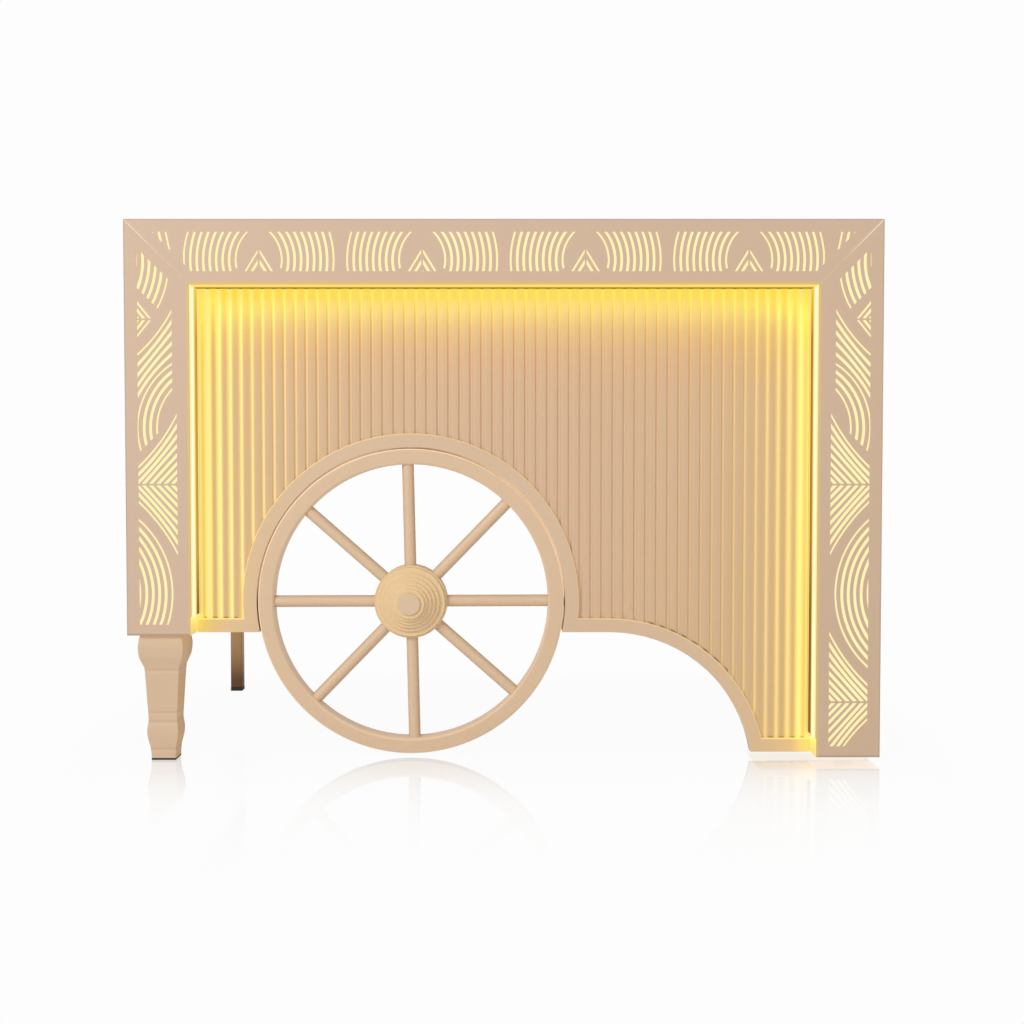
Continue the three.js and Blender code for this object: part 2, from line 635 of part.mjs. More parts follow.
// The lower edge of the front from left to right, raised by an offset: level, round the wheel arch,
// level again, and down the hollow to the right end.
function lowerEdge(offset, radius) {
  const level = LEFT_BOTTOM + offset;
  const arch = point(WHEEL_X, WHEEL_HEIGHT);
  const spring = Math.asin((level - WHEEL_HEIGHT) / radius);
  const hollow = point(HOLLOW_START, LEFT_BOTTOM - HOLLOW_RADIUS);
  const hollowRadius = HOLLOW_RADIUS + offset;
  const foot = Math.asin((END_CLEARANCE + offset - hollow.y) / hollowRadius);
  return [
    point(-PANEL_HALF, level),
    ...arc(arch, radius, Math.PI - spring, spring, OUTLINE_STEP_DEGREES),
    ...arc(hollow, hollowRadius, Math.PI / 2, foot, OUTLINE_STEP_DEGREES),
    point(PANEL_HALF, END_CLEARANCE + offset),
  ];
}

// Plan of the ribs and grooves across the panel's front, as [x, y] places.
function fluteLine() {
  const count = Math.round((2 * PANEL_HALF) / FLUTE_PITCH);
  const pitch = (2 * PANEL_HALF) / count;
  const slope = (pitch - GROOVE_BOTTOM - RIB_FACE) / 2;
  const across = [0, slope, slope + RIB_FACE / 2, slope + RIB_FACE, 2 * slope + RIB_FACE];
  const deep = [FLUTE_DEPTH, RIB_CROWN, 0, RIB_CROWN, FLUTE_DEPTH];
  return Array.from({ length: count }, (_, i) => {
    const start = -PANEL_HALF + GROOVE_BOTTOM / 2 + i * pitch;
    return across.map((shift, k) => point(start + shift, PANEL_FRONT + deep[k]));
  }).flat();
}

function addPanel() {
  const plan = [
    point(-PANEL_HALF, PANEL_FRONT + FLUTE_DEPTH),
    ...fluteLine(),
    point(PANEL_HALF, PANEL_FRONT + FLUTE_DEPTH),
    point(PANEL_HALF, PANEL_BACK),
    point(-PANEL_HALF, PANEL_BACK),
  ];
  const top = OPENING_TOP - PANEL_GAP;
  const ribs = solid(new THREE.ExtrudeGeometry(new THREE.Shape(plan), { depth: top, bevelEnabled: false }));
  const edge = lowerEdge(0, ARCH_RADIUS + LINER_SHEET + FIT);
  const outline = [...edge, point(PANEL_HALF, HEIGHT), point(-PANEL_HALF, HEIGHT)];
  const cut = plate(outline, PANEL_FRONT - OVERRUN, PANEL_BACK + OVERRUN);
  add("fluted_panel", ribs.intersect(cut), WARM_BEIGE);
  const band = [...lowerEdge(0, ARCH_RADIUS), ...lowerEdge(TRIM_WIDTH, ARCH_RADIUS + TRIM_WIDTH).reverse()];
  add("bottom_trim", plate(band, TRIM_FRONT, TRIM_FRONT + TRIM_THICKNESS), BEIGE);
}

// Arch liner and flange, crossbar and axle

function addArch() {
  const centre = point(WHEEL_X, WHEEL_HEIGHT);
  const side = (radius) => {
    const spring = Math.asin((LEFT_BOTTOM - WHEEL_HEIGHT) / radius);
    return arc(centre, radius, Math.PI - spring, spring, OUTLINE_STEP_DEGREES);
  };
  const outline = [...side(ARCH_RADIUS), ...side(ARCH_RADIUS + LINER_SHEET).reverse()];
  add("arch_liner", plate(outline, PANEL_FRONT, CROSSBAR_BACK + LINER_MARGIN), BEIGE);
  const ring = [...side(ARCH_RADIUS - FIT), ...side(ARCH_RADIUS - FLANGE_WIDTH).reverse()];
  const ringFront = CROSSBAR_BACK + FIT;
  add("arch_flange", plate(ring, ringFront, ringFront + FLANGE_THICKNESS), BEIGE);

  const low = WHEEL_HEIGHT - CROSSBAR_DROP - CROSSBAR_HEIGHT / 2;
  const drop = WHEEL_HEIGHT - low;
  const reach = Math.sqrt(ARCH_RADIUS ** 2 - drop ** 2) - 2 * FIT;
  const spanX = [WHEEL_X - reach, WHEEL_X + reach];
  const bar = box(spanX, [CROSSBAR_FRONT, CROSSBAR_BACK], [low, low + CROSSBAR_HEIGHT]);
  const disc = turned([[0, CROSSBAR_FRONT], [CROSSBAR_BOSS_RADIUS, CROSSBAR_FRONT],
    [CROSSBAR_BOSS_RADIUS, CROSSBAR_BACK], [0, CROSSBAR_BACK]], SMALL_FACETS);
  const bore = turned([[0, CROSSBAR_FRONT - OVERRUN], [AXLE_RADIUS + FIT, CROSSBAR_FRONT - OVERRUN],
    [AXLE_RADIUS + FIT, CROSSBAR_BACK + OVERRUN], [0, CROSSBAR_BACK + OVERRUN]], SMALL_FACETS);
  const seat = [WHEEL_X, 0, WHEEL_HEIGHT];
  add("wheel_crossbar", bar.add(disc.translate(seat)).subtract(bore.translate(seat)), BEIGE);
}

function addAxle() {
  const washerBack = TRIM_FRONT - FIT;
  const nutBack = washerBack - WASHER_THICKNESS - FIT;
  const tip = nutBack - NUT_THICKNESS - AXLE_END;
  const headFront = CROSSBAR_BACK + FIT;
  const headBack = headFront + AXLE_HEAD_THICKNESS;
  const axle = turned([[0, tip], [AXLE_RADIUS, tip], [AXLE_RADIUS, headFront],
    [AXLE_HEAD_RADIUS, headFront], [AXLE_HEAD_RADIUS, headBack], [0, headBack]], SMALL_FACETS);
  const ring = (outer, back, thickness, facets) => {
    const inner = AXLE_RADIUS + FIT;
    const front = back - thickness;
    return turned([[inner, front], [outer, front], [outer, back], [inner, back], [inner, front]], facets);
  };
  const pieces = {
    stub_axle: axle,
    axle_washer: ring(WASHER_RADIUS, washerBack, WASHER_THICKNESS, SMALL_FACETS),
    axle_nut: nut(nutBack),
  };
  for (const [name, piece] of Object.entries(pieces)) {
    add(name, piece.translate([WHEEL_X, 0, WHEEL_HEIGHT]), STEEL);
  }
}

function nut(back) {
  const front = back - NUT_THICKNESS;
  const inner = AXLE_RADIUS + FIT;
  const prism = turned([[0, front], [NUT_RADIUS, front], [NUT_RADIUS, back], [0, back]], NUT_SIDES);
  const [near, far] = [front - OVERRUN, back + OVERRUN];
  return prism.subtract(turned([[0, near], [inner, near], [inner, far], [0, far]], SMALL_FACETS));
}

// Wheel

// A round bar on the Z axis, between two radii of the wheel.
const radialBar = (radius, from, to) =>
  turned([[0, from], [radius, from], [radius, to], [0, to]], SPOKE_FACETS).rotate([90, 0, 0]);

const spoke = () =>
  radialBar(SPOKE_RADIUS, HUB_RADIUS - SOCKET_DEPTH, WHEEL_RADIUS - RIM_WIDTH + SOCKET_DEPTH);
const spokeTurn = (i) => (i * 360) / SPOKE_COUNT - SPOKE_LEANS[i % SPOKE_LEANS.length];

// Sockets for one end of all the spokes.
function sockets(from, to) {
  const socket = radialBar(SPOKE_RADIUS + FIT, from, to);
  return union(Array.from({ length: SPOKE_COUNT }, (_, i) => socket.rotate([0, spokeTurn(i), 0])));
}

function rim() {
  const [inner, outer, half] = [WHEEL_RADIUS - RIM_WIDTH, WHEEL_RADIUS, WHEEL_THICKNESS / 2];
  const profile = [[inner + RIM_CHAMFER, -half], [outer - RIM_CHAMFER, -half], [outer, RIM_CHAMFER - half],
    [outer, half], [inner, half], [inner, RIM_CHAMFER - half], [inner + RIM_CHAMFER, -half]];
  return turned(profile, RIM_FACETS).subtract(sockets(inner - OVERRUN, inner + SOCKET_DEPTH + FIT));
}

function barrel() {
  const half = WHEEL_THICKNESS / 2;
  const bore = AXLE_RADIUS + 2 * FIT + BUSH_WALL;
  const profile = [[bore, -half], [HUB_RADIUS, -half], [HUB_RADIUS, half], [bore, half], [bore, -half]];
  return turned(profile, HUB_FACETS).subtract(sockets(HUB_RADIUS - SOCKET_DEPTH - FIT, HUB_RADIUS + OVERRUN));
}

function bush() {
  const half = WHEEL_THICKNESS / 2;
  const inner = AXLE_RADIUS + FIT;
  const outer = inner + BUSH_WALL;
  const flangeBack = half + CROSSBAR_GAP - FIT;
  return turned([[inner, -half], [outer, -half], [outer, half + FIT], [BUSH_FLANGE_RADIUS, half + FIT],
    [BUSH_FLANGE_RADIUS, flangeBack], [inner, flangeBack], [inner, -half]], SMALL_FACETS);
}

// The nose steps forward in chamfered rings, over a pocket for the axle's nut.
function nose() {
  const back = -WHEEL_THICKNESS / 2 - FIT;
  const rise = NOSE_HEIGHT / NOSE_RING_SHARES.length;
  const pocket = back - 2 * FIT - WASHER_THICKNESS - NUT_THICKNESS - AXLE_END - NOSE_POCKET_CLEARANCE;
  const rings = NOSE_RING_SHARES.flatMap((share, i) => {
    const radius = share * HUB_RADIUS;
    const front = back - (i + 1) * rise;
    return [[radius, front + rise], [radius, front + NOSE_CHAMFER], [radius - NOSE_CHAMFER, front]];
  });
  const hollow = [[0, pocket], [NOSE_POCKET_RADIUS, pocket], [NOSE_POCKET_RADIUS, back]];
  return turned([...hollow, ...rings, [0, back - NOSE_HEIGHT]].reverse(), HUB_FACETS);
}

function cap() {
  const back = -WHEEL_THICKNESS / 2 - 2 * FIT - NOSE_HEIGHT;
  const radius = CAP_SHARE * HUB_RADIUS;
  const front = back - CAP_THICKNESS;
  const edge = [[radius - CAP_CHAMFER, front], [radius, front + CAP_CHAMFER], [radius, back]];
  return turned([[0, front], ...edge, [0, back]], SMALL_FACETS);
}

function addWheel() {
  const wheel = new THREE.Group();
  wheel.position.set(WHEEL_X, WHEEL_Y, WHEEL_HEIGHT);
  counter.add(wheel);
  add("wheel_rim", rim(), BEIGE, wheel);
  for (let i = 0; i < SPOKE_COUNT; i += 1) {
    add(`spoke_${i + 1}`, spoke(), BEIGE, wheel).rotation.y = radians(spokeTurn(i));
  }
  add("hub_barrel", barrel(), BEIGE, wheel);
  add("hub_bush", bush(), BLACK, wheel);
  add("hub_nose", nose(), BEIGE, wheel);
  add("hub_cap", cap(), BEIGE, wheel);
}

// Front leg

// A moulded leg of square plan: a four-sided turning, narrower from front to back.
function squareTurned(profile) {
  const points = profile.map(([halfWidth, z]) => new THREE.Vector2(halfWidth * Math.SQRT2, z));
  const geometry = new THREE.LatheGeometry(points, LEG_SIDES, Math.PI / LEG_SIDES);
  return solid(geometry.rotateX(Math.PI / 2).scale(1, LEG_DEPTH_SHARE, 1));
}

function addFrontLeg() {
  const centreX = BORDER_WIDTH / 2 - HALF_WIDTH;
  const centreY = FRONT + LEG_SETBACK + LEG_HALF_WIDTH * LEG_DEPTH_SHARE;
  const [low, high] = [LEG_PAD_HEIGHT + FIT, LEFT_BOTTOM - FIT];
  const height = high - low;
  const moulding = LEG_SHARES.map(([rise, width]) => point(width * LEG_HALF_WIDTH, low + rise * height));
  const outline = new THREE.SplineCurve(moulding).getPoints(LEG_STEPS).map((p) => [p.x, p.y]);
  const leg = squareTurned([[0, low], ...outline, [0, high]]);
  const half = LEG_SHARES[0][1] * LEG_HALF_WIDTH;
  const pad = squareTurned([[0, 0], [half - LEG_PAD_CHAMFER, 0], [half, LEG_PAD_CHAMFER],
    [half, LEG_PAD_HEIGHT], [0, LEG_PAD_HEIGHT]]);
  add("front_leg", leg.translate([centreX, centreY, 0]), BEIGE);
  add("front_leg_pad", pad.translate([centreX, centreY, 0]), RUBBER);
}

// Square tube frame

// A square tube along one axis: the ranges of the other two are its width.
function tube(ranges, along) {
  const inner = ranges.map(([from, to], axis) =>
    axis === along ? [from - OVERRUN, to + OVERRUN] : [from + TUBE_WALL, to - TUBE_WALL]);
  return box(...ranges).subtract(box(...inner));
}

function addFrame() {
  const frontY = [FRAME_FRONT, FRAME_FRONT + TUBE];
  const backY = [REAR_TUBE_FRONT, BACK];
  const acrossX = [FIT - POST_INNER, POST_INNER - FIT];
  const alongY = [FRAME_FRONT + TUBE + FIT, REAR_TUBE_FRONT - FIT];
  const topZ = [FRAME_TOP - TUBE, FRAME_TOP];
  const shelfZ = [SHELF_RAIL_BOTTOM, SHELF_RAIL_BOTTOM + TUBE];
  const sides = { left: [-POST_OUTER, -POST_INNER], right: [POST_INNER, POST_OUTER] };
  const postBottoms = { left: LEFT_BOTTOM + FIT, right: END_POST_BOTTOM };
  for (const [name, rangeZ] of Object.entries({ top_rail: topZ, shelf_rail: shelfZ })) {
    add(`${name}_front`, tube([acrossX, frontY, rangeZ], 0), BRONZE);
    add(`${name}_rear`, tube([acrossX, backY, rangeZ], 0), BRONZE);
    for (const [side, rangeX] of Object.entries(sides)) {
      add(`${name}_${side}`, tube([rangeX, alongY, rangeZ], 1), BRONZE);
    }
  }
  for (const [side, rangeX] of Object.entries(sides)) {
    add(`front_post_${side}`, tube([rangeX, frontY, [postBottoms[side], FRAME_TOP]], 2), BRONZE);
    add(`rear_leg_${side}`, tube([rangeX, backY, [FOOT_HEIGHT + FIT, FRAME_TOP]], 2), BRONZE);
    add(`rear_foot_${side}`, foot(rangeX, backY), RUBBER);
  }
  add("end_rail", tube([sides.right, alongY, [END_RAIL_HEIGHT, END_RAIL_HEIGHT + TUBE]], 1), BRONZE);
  const seat = [(POST_INNER + POST_OUTER) / 2, FRAME_FRONT + TUBE / 2, 0];
  add("end_glide", glide().translate(seat), RUBBER);
}

// A foot closes a tube's lower end, with a spigot up inside it.
function foot(rangeX, rangeY) {
  const wall = TUBE_WALL + FIT;
  const spigotX = [rangeX[0] + wall, rangeX[1] - wall];
  const spigotY = [rangeY[0] + wall, rangeY[1] - wall];
  const top = FOOT_HEIGHT + FOOT_SPIGOT;
  return box(rangeX, rangeY, [0, FOOT_HEIGHT]).add(box(spigotX, spigotY, [FOOT_HEIGHT / 2, top]));
}

function glide() {
  const seat = END_POST_BOTTOM - FIT;
  const collar = seat - GLIDE_COLLAR_THICKNESS;
  const collarRadius = TUBE / 2 - GLIDE_COLLAR_INSET;
  const plug = TUBE / 2 - TUBE_WALL - FIT;
  const top = END_POST_BOTTOM + FOOT_SPIGOT;
  const profile = [[0, 0], [GLIDE_RADIUS, 0], [GLIDE_RADIUS, GLIDE_THICKNESS],
    [GLIDE_STEM_RADIUS, GLIDE_THICKNESS], [GLIDE_STEM_RADIUS, collar], [collarRadius, collar],
    [collarRadius, seat], [plug, seat], [plug, top], [0, top]];
  return turned(profile, SMALL_FACETS).rotate([90, 0, 0]);
}

// Countertop, shelf and side panels

function addBoards() {
  const behind = [FRAME_FRONT, BACK];
  add("countertop", box([-HALF_WIDTH, HALF_WIDTH], behind, [HEIGHT - TOP_THICKNESS, HEIGHT]), BEIGE);
  const shelfX = [FIT - POST_INNER, POST_INNER - FIT];
  add("shelf", box(shelfX, behind, [SHELF_BOTTOM, SHELF_BOTTOM + SHELF_THICKNESS]), BEIGE);
  for (const [side, bottom] of Object.entries(sideBottoms)) {
    const panel = sidePanel([bottom, FRAME_TOP], behind);
    add(`side_panel_${side}`, side === "left" ? panel.mirror([1, 0, 0]) : panel, BEIGE);
  }
}

// A folded tray on the right side, open towards the frame.
function sidePanel([low, high], [near, far]) {
  const inner = POST_OUTER + FIT;
  const within = ([from, to]) => [from + SHEET, to - SHEET];
  const hollow = box([inner - OVERRUN, HALF_WIDTH - SHEET], within([near, far]), within([low, high]));
  return box([inner, HALF_WIDTH], [near, far], [low, high]).subtract(hollow);
}

// Power supply

function addPower() {
  const front = FRAME_FRONT + TUBE + DRIVER_SETBACK;
  const [low, high] = [FRAME_TOP - DRIVER_HEIGHT, FRAME_TOP];
  const [left, right] = [DRIVER_X - DRIVER_WIDTH / 2, DRIVER_X + DRIVER_WIDTH / 2];
  const casing = [
    point(left + DRIVER_CHAMFER, low),
    point(right - DRIVER_CHAMFER, low),
    point(right, low + DRIVER_CHAMFER),
    point(right, high),
    point(left, high),
    point(left, low + DRIVER_CHAMFER),
  ];
  add("light_driver", plate(casing, front, front + DRIVER_DEPTH), STEEL);

  const boxBack = BACK - POWER_BOX_SETBACK;
  const boxTop = FRAME_TOP - TUBE - FIT;
  const middleZ = boxTop - POWER_BOX_HEIGHT / 2;
  const around = (middle, size) => [middle - size / 2, middle + size / 2];
  const inletX = POWER_BOX_X + INLET_OFFSET;
  const rockerX = POWER_BOX_X + ROCKER_OFFSET;
  const pivotY = boxBack - ROCKER_RISE;
  const faceRise = ROCKER_RISE + ROCKER_HALF_HEIGHT * Math.tan(radians(ROCKER_TILT_DEGREES));
  const swing = Math.hypot(ROCKER_HALF_HEIGHT, Math.max(ROCKER_DEPTH, faceRise));
  const housing = box(around(POWER_BOX_X, POWER_BOX_WIDTH), [boxBack - POWER_BOX_DEPTH, boxBack],
    [boxTop - POWER_BOX_HEIGHT, boxTop]);
  const inletPocket = box(around(inletX, INLET_WIDTH + 2 * FIT),
    [boxBack - INLET_DEPTH - FIT, boxBack + OVERRUN], around(middleZ, INLET_HEIGHT + 2 * FIT));
  const rockerPocket = box(around(rockerX, ROCKER_WIDTH + 2 * ROCKER_PLAY),
    [pivotY - swing - ROCKER_PLAY, boxBack + OVERRUN], around(middleZ, 2 * (swing + ROCKER_PLAY)));
  add("power_box", housing.subtract(inletPocket).subtract(rockerPocket), STEEL);
  add("power_inlet", inlet().translate([inletX, boxBack, middleZ]), BLACK);

  const switchGroup = new THREE.Group();
  switchGroup.position.set(rockerX, pivotY, middleZ);
  switchGroup.rotation.x = radians(ROCKER_TILT_DEGREES);
  counter.add(switchGroup);
  add("rocker", rocker(faceRise), BLACK, switchGroup);
}

// Mains inlet round the origin, facing +Y: flange, hollow body and three pins.
function inlet() {
  const half = (size) => [-size / 2, size / 2];
  const flange = box(half(INLET_WIDTH + 2 * INLET_FLANGE), [FIT, FIT + INLET_FLANGE_THICKNESS],
    half(INLET_HEIGHT + 2 * INLET_FLANGE));
  const body = box(half(INLET_WIDTH), [-INLET_DEPTH, INLET_FLANGE_THICKNESS / 2], half(INLET_HEIGHT));
  const floor = INLET_FLOOR - INLET_DEPTH;
  const recess = box(half(INLET_WIDTH - 2 * INLET_WALL), [floor, INLET_FLANGE_THICKNESS + OVERRUN],
    half(INLET_HEIGHT - 2 * INLET_WALL));
  const pins = [-1, 0, 1].map((place) => {
    const raise = place ? -PIN_RAISE / 2 : PIN_RAISE / 2;
    const middle = place * PIN_SPREAD;
    return box([middle - PIN_WIDTH / 2, middle + PIN_WIDTH / 2], [floor - FIT, floor + PIN_LENGTH],
      [raise - PIN_HEIGHT / 2, raise + PIN_HEIGHT / 2]);
  });
  return union([flange.add(body).subtract(recess), ...pins]);
}

// Rocker on its pivot line: two faces that meet in a shallow V towards +Y.
function rocker(faceRise) {
  const half = ROCKER_HALF_HEIGHT;
  const side = [point(-half, -ROCKER_DEPTH), point(half, -ROCKER_DEPTH), point(half, faceRise),
    point(0, ROCKER_RISE), point(-half, faceRise)];
  const shape = new THREE.Shape(side.map((p) => point(p.y, p.x)));
  const geometry = new THREE.ExtrudeGeometry(shape, { depth: ROCKER_WIDTH, bevelEnabled: false });
  geometry.translate(0, 0, -ROCKER_WIDTH / 2).rotateY(Math.PI / 2).rotateX(Math.PI / 2);
  return solid(geometry);
}

addBorders();
addBorderLights();
addRevealLights();
addPanel();
addArch();
addAxle();
addWheel();
addFrontLeg();
addFrame();
addBoards();
addPower();

export default counter;
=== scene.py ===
import math

import bmesh
import bpy
from mathutils import Matrix, Vector


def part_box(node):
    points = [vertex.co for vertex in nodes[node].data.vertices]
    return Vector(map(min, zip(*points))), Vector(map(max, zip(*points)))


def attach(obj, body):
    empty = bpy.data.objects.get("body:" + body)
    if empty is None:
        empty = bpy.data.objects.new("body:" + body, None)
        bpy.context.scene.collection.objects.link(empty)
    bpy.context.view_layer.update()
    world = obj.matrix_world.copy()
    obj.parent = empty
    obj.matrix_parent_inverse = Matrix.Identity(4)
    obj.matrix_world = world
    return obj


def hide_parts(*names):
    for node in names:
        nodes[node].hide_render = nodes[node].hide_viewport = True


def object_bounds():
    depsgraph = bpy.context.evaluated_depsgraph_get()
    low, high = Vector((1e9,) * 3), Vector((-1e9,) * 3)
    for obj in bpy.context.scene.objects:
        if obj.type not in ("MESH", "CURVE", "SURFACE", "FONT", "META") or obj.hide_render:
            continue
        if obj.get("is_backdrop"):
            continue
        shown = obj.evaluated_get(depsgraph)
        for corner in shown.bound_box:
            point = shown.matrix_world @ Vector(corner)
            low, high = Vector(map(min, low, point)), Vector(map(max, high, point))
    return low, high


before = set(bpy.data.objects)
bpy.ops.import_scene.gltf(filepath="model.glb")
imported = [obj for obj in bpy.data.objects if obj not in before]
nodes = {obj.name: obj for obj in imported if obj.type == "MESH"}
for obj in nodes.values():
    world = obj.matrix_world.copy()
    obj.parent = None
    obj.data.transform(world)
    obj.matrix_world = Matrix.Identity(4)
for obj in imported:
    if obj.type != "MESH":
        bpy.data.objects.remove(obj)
cad_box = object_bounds()

# Square tube frame. The real one is welded from 30 mm square steel tube with 2 mm walls, drawn with
# rounded corners, and is powder coated brown; the coat is made darker towards the floor. It carries
# the top, the shelf and the sides.
TUBE_CORNER = 0.003
CORNER_STEPS = 3
WELD = 1e-6
FLAT_ANGLE = math.radians(0.4)
SMOOTH_ANGLE = math.radians(42)
TUBE_SKIN = 0.001
DARKENING_HEIGHT = 1 / 15
TUBES_X = ("top_rail_front", "top_rail_rear", "shelf_rail_front", "shelf_rail_rear")
TUBES_Y = ("top_rail_left", "top_rail_right", "shelf_rail_left", "shelf_rail_right", "end_rail")
TUBES_Z = ("front_post_left", "front_post_right", "rear_leg_left", "rear_leg_right")


def tone(red, green, blue):
    """A colour from its 0 to 255 values, as the shaders take it."""
    shares = [value / 255 for value in (red, green, blue)]
    return (*[s / 12.92 if s <= 0.04045 else ((s + 0.055) / 1.055) ** 2.4 for s in shares], 1)


class Wire:
    """An output socket. Arithmetic on it and comparisons with it add Math nodes."""

    def __init__(self, wiring, socket):
        self.wiring = wiring
        self.socket = socket

    def maths(self, operation, *values):
        return self.wiring.node("ShaderNodeMath", {"operation": operation}, dict(enumerate(values)))

    def __add__(self, other):
        return self.maths("ADD", self, other)

    def __sub__(self, other):
        return self.maths("SUBTRACT", self, other)

    def __rsub__(self, other):
        return self.maths("SUBTRACT", other, self)

    def __mul__(self, other):
        return self.maths("MULTIPLY", self, other)

    def __truediv__(self, other):
        return self.maths("DIVIDE", self, other)

    def __pow__(self, other):
        return self.maths("POWER", self, other)

    def __rpow__(self, other):
        return self.maths("POWER", other, self)

    def __neg__(self):
        return self * -1

    def __abs__(self):
        return self.maths("ABSOLUTE", self)

    def __lt__(self, other):
        return self.maths("LESS_THAN", self, other)

    def __gt__(self, other):
        return self.maths("GREATER_THAN", self, other)

    __radd__ = __add__
    __rmul__ = __mul__

    def at_least(self, other):
        return self.maths("MAXIMUM", self, other)

    def at_most(self, other):
        return self.maths("MINIMUM", self, other)

    def clipped(self):
        return self.at_least(0).at_most(1)


class Wiring:
    """A node tree under way. One method makes every node in it."""

    def __init__(self, tree):
        self.tree = tree

    def node(self, kind, settings=(), sockets=(), output=0):
        made = self.tree.nodes.new(kind)
        for setting, value in dict(settings).items():
            setattr(made, setting, value)
        for key, value in dict(sockets).items():
            named = [s for s in made.inputs if s.name == key and s.enabled]
            self.feed(named[0] if named else made.inputs[key], value)
        usable = [s for s in made.outputs if s.enabled]
        return Wire(self, usable[output] if isinstance(output, int) else made.outputs[output])

    def feed(self, socket, value):
        if isinstance(value, Wire):
            self.tree.links.new(value.socket, socket)
        else:
            socket.default_value = value

    def end(self, last):
        """Feeds the tree's own output with its last shader."""
        output = [n for n in self.tree.nodes if n.bl_idname.startswith("ShaderNodeOutput")][0]
        self.feed(output.inputs["Surface"], last)


class Finish(Wiring):
    """A material under way: its colour, gloss and relief end in one Principled shader."""

    def __init__(self, name, constants):
        self.material = bpy.data.materials.new(name)
        self.material.use_nodes = True
        super().__init__(self.material.node_tree)
        self.shader = self.tree.nodes["Principled BSDF"]
        self.shown(constants)
        self.place = self.node("ShaderNodeTexCoord", output="Object")

    def shown(self, sockets):
        for name, value in sockets.items():
            self.feed(self.shader.inputs[name], value)

    def so_far(self, name):
        """What feeds one of the shader's inputs up to now."""
        return Wire(self, self.shader.inputs[name].links[0].from_socket)

    def facing(self):
        """The way the surface faces, along the three axes."""
        return self.axes(self.node("ShaderNodeTexCoord", output="Normal"))

    def axes(self, vector):
        return [self.node("ShaderNodeSeparateXYZ", {}, {"Vector": vector}, output=name) for name in "XYZ"]

    def noise(self, scale, stretch=(1, 1, 1), detail=3):
        place = self.node("ShaderNodeMapping", {}, {"Vector": self.place, "Scale": stretch})
        return self.node("ShaderNodeTexNoise", {}, {"Vector": place, "Scale": scale, "Detail": detail})

    def mix(self, factor, first, second):
        return self.node("ShaderNodeMix", {"data_type": "RGBA"}, {"Factor": factor, "A": first, "B": second})

    def bump(self, height, depth):
        return self.node("ShaderNodeBump", {}, {"Height": height, "Distance": depth})


def fading(distance, half, power=1):
    """One at no distance and one half at a given one."""
    return 0.5 ** ((distance / half) ** power)


def powder_coat(name, colour, shade, roughness):
    """Powder coat on metal: an even colour, a little cloudy, with a fine orange peel."""
    coat = Finish(name, {"Coat Roughness": 0.3})
    cloud = coat.noise(2.2)
    peel = coat.noise(420, detail=2)
    coat.shown({
        "Base Color": coat.mix(cloud * 0.5 + peel * 0.16, colour, shade),
        "Roughness": roughness + peel * 0.14 - 0.07,
        "Normal": coat.bump(peel, 0.00012),
    })
    return coat


def whole(node):
    """A CAD node's mesh with its loose triangles joined and its flat faces made whole."""
    shape = bmesh.new()
    shape.from_mesh(nodes[node].data)
    bmesh.ops.remove_doubles(shape, verts=shape.verts, dist=WELD)
    bmesh.ops.dissolve_limit(shape, angle_limit=FLAT_ANGLE, verts=shape.verts, edges=shape.edges)
    return shape


def ease(shape, edges, width, segments=CORNER_STEPS, clamp=True):
    """Rounds edges, as a tool, a bend or a brush of paint leaves them."""
    bmesh.ops.bevel(shape, geom=list(edges), offset=width, offset_type="OFFSET", affect="EDGES",
                    segments=segments, profile=0.5, material=-1, clamp_overlap=clamp)


def sharp(shape, least=25):
    return [e for e in shape.edges if e.is_manifold and e.calc_face_angle(0) > math.radians(least)]


def along(shape, axis, least=25):
    """The sharp edges that run along one axis."""
    return [e for e in sharp(shape, least)
            if abs((e.verts[0].co - e.verts[1].co).normalized()[axis]) > 0.999]


def piece(name, shape, body, slot, finish, *stands_for, weighted=True):
    """Makes a shape a piece that moves with a body and stands for CAD nodes."""
    mesh = bpy.data.meshes.new(name)
    shape.to_mesh(mesh)
    shape.free()
    if "custom_normal" in mesh.attributes:
        mesh.attributes.remove(mesh.attributes["custom_normal"])
    mesh.shade_smooth()
    mesh.set_sharp_from_angle(angle=SMOOTH_ANGLE)
    mesh.materials.append(finish.material)
    made = bpy.data.objects.new(name, mesh)
    bpy.context.scene.collection.objects.link(made)
    if weighted:
        made.modifiers.new("even_shading", "WEIGHTED_NORMAL").keep_sharp = True
    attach(made, body)
    if stands_for:
        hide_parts(*stands_for)
    return made


bronze = Finish("brown_coat", {"Metallic": 0.25, "Coat Roughness": 0.25})
# The coat is darker towards the floor.
low_darkening = fading(bronze.axes(bronze.place)[2], DARKENING_HEIGHT, 2)
flake = bronze.noise(650, detail=2)
bronze.shown({
    "Base Color": bronze.mix((low_darkening + flake * 0.2).at_most(1), tone(182, 141, 94), tone(92, 58, 34)),
    "Roughness": 0.36 + flake * 0.12 + low_darkening * 0.2,
    "Normal": bronze.bump(flake, 0.00008),
})
for axis, tubes in enumerate((TUBES_X, TUBES_Y, TUBES_Z)):
    for node in tubes:
        shape = whole(node)
        low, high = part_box(node)
        middle = (low + high) / 2
        half = (high - low) / 2
        across = [k for k in range(3) if k != axis]
        outer = [e for e in along(shape, axis)
                 if all(abs((e.verts[0].co - middle)[k]) > half[k] - TUBE_SKIN for k in across)]
        ease(shape, outer, TUBE_CORNER)
        piece(f"{node}_tube", shape, "counter", "bronze_tube", bronze, node)

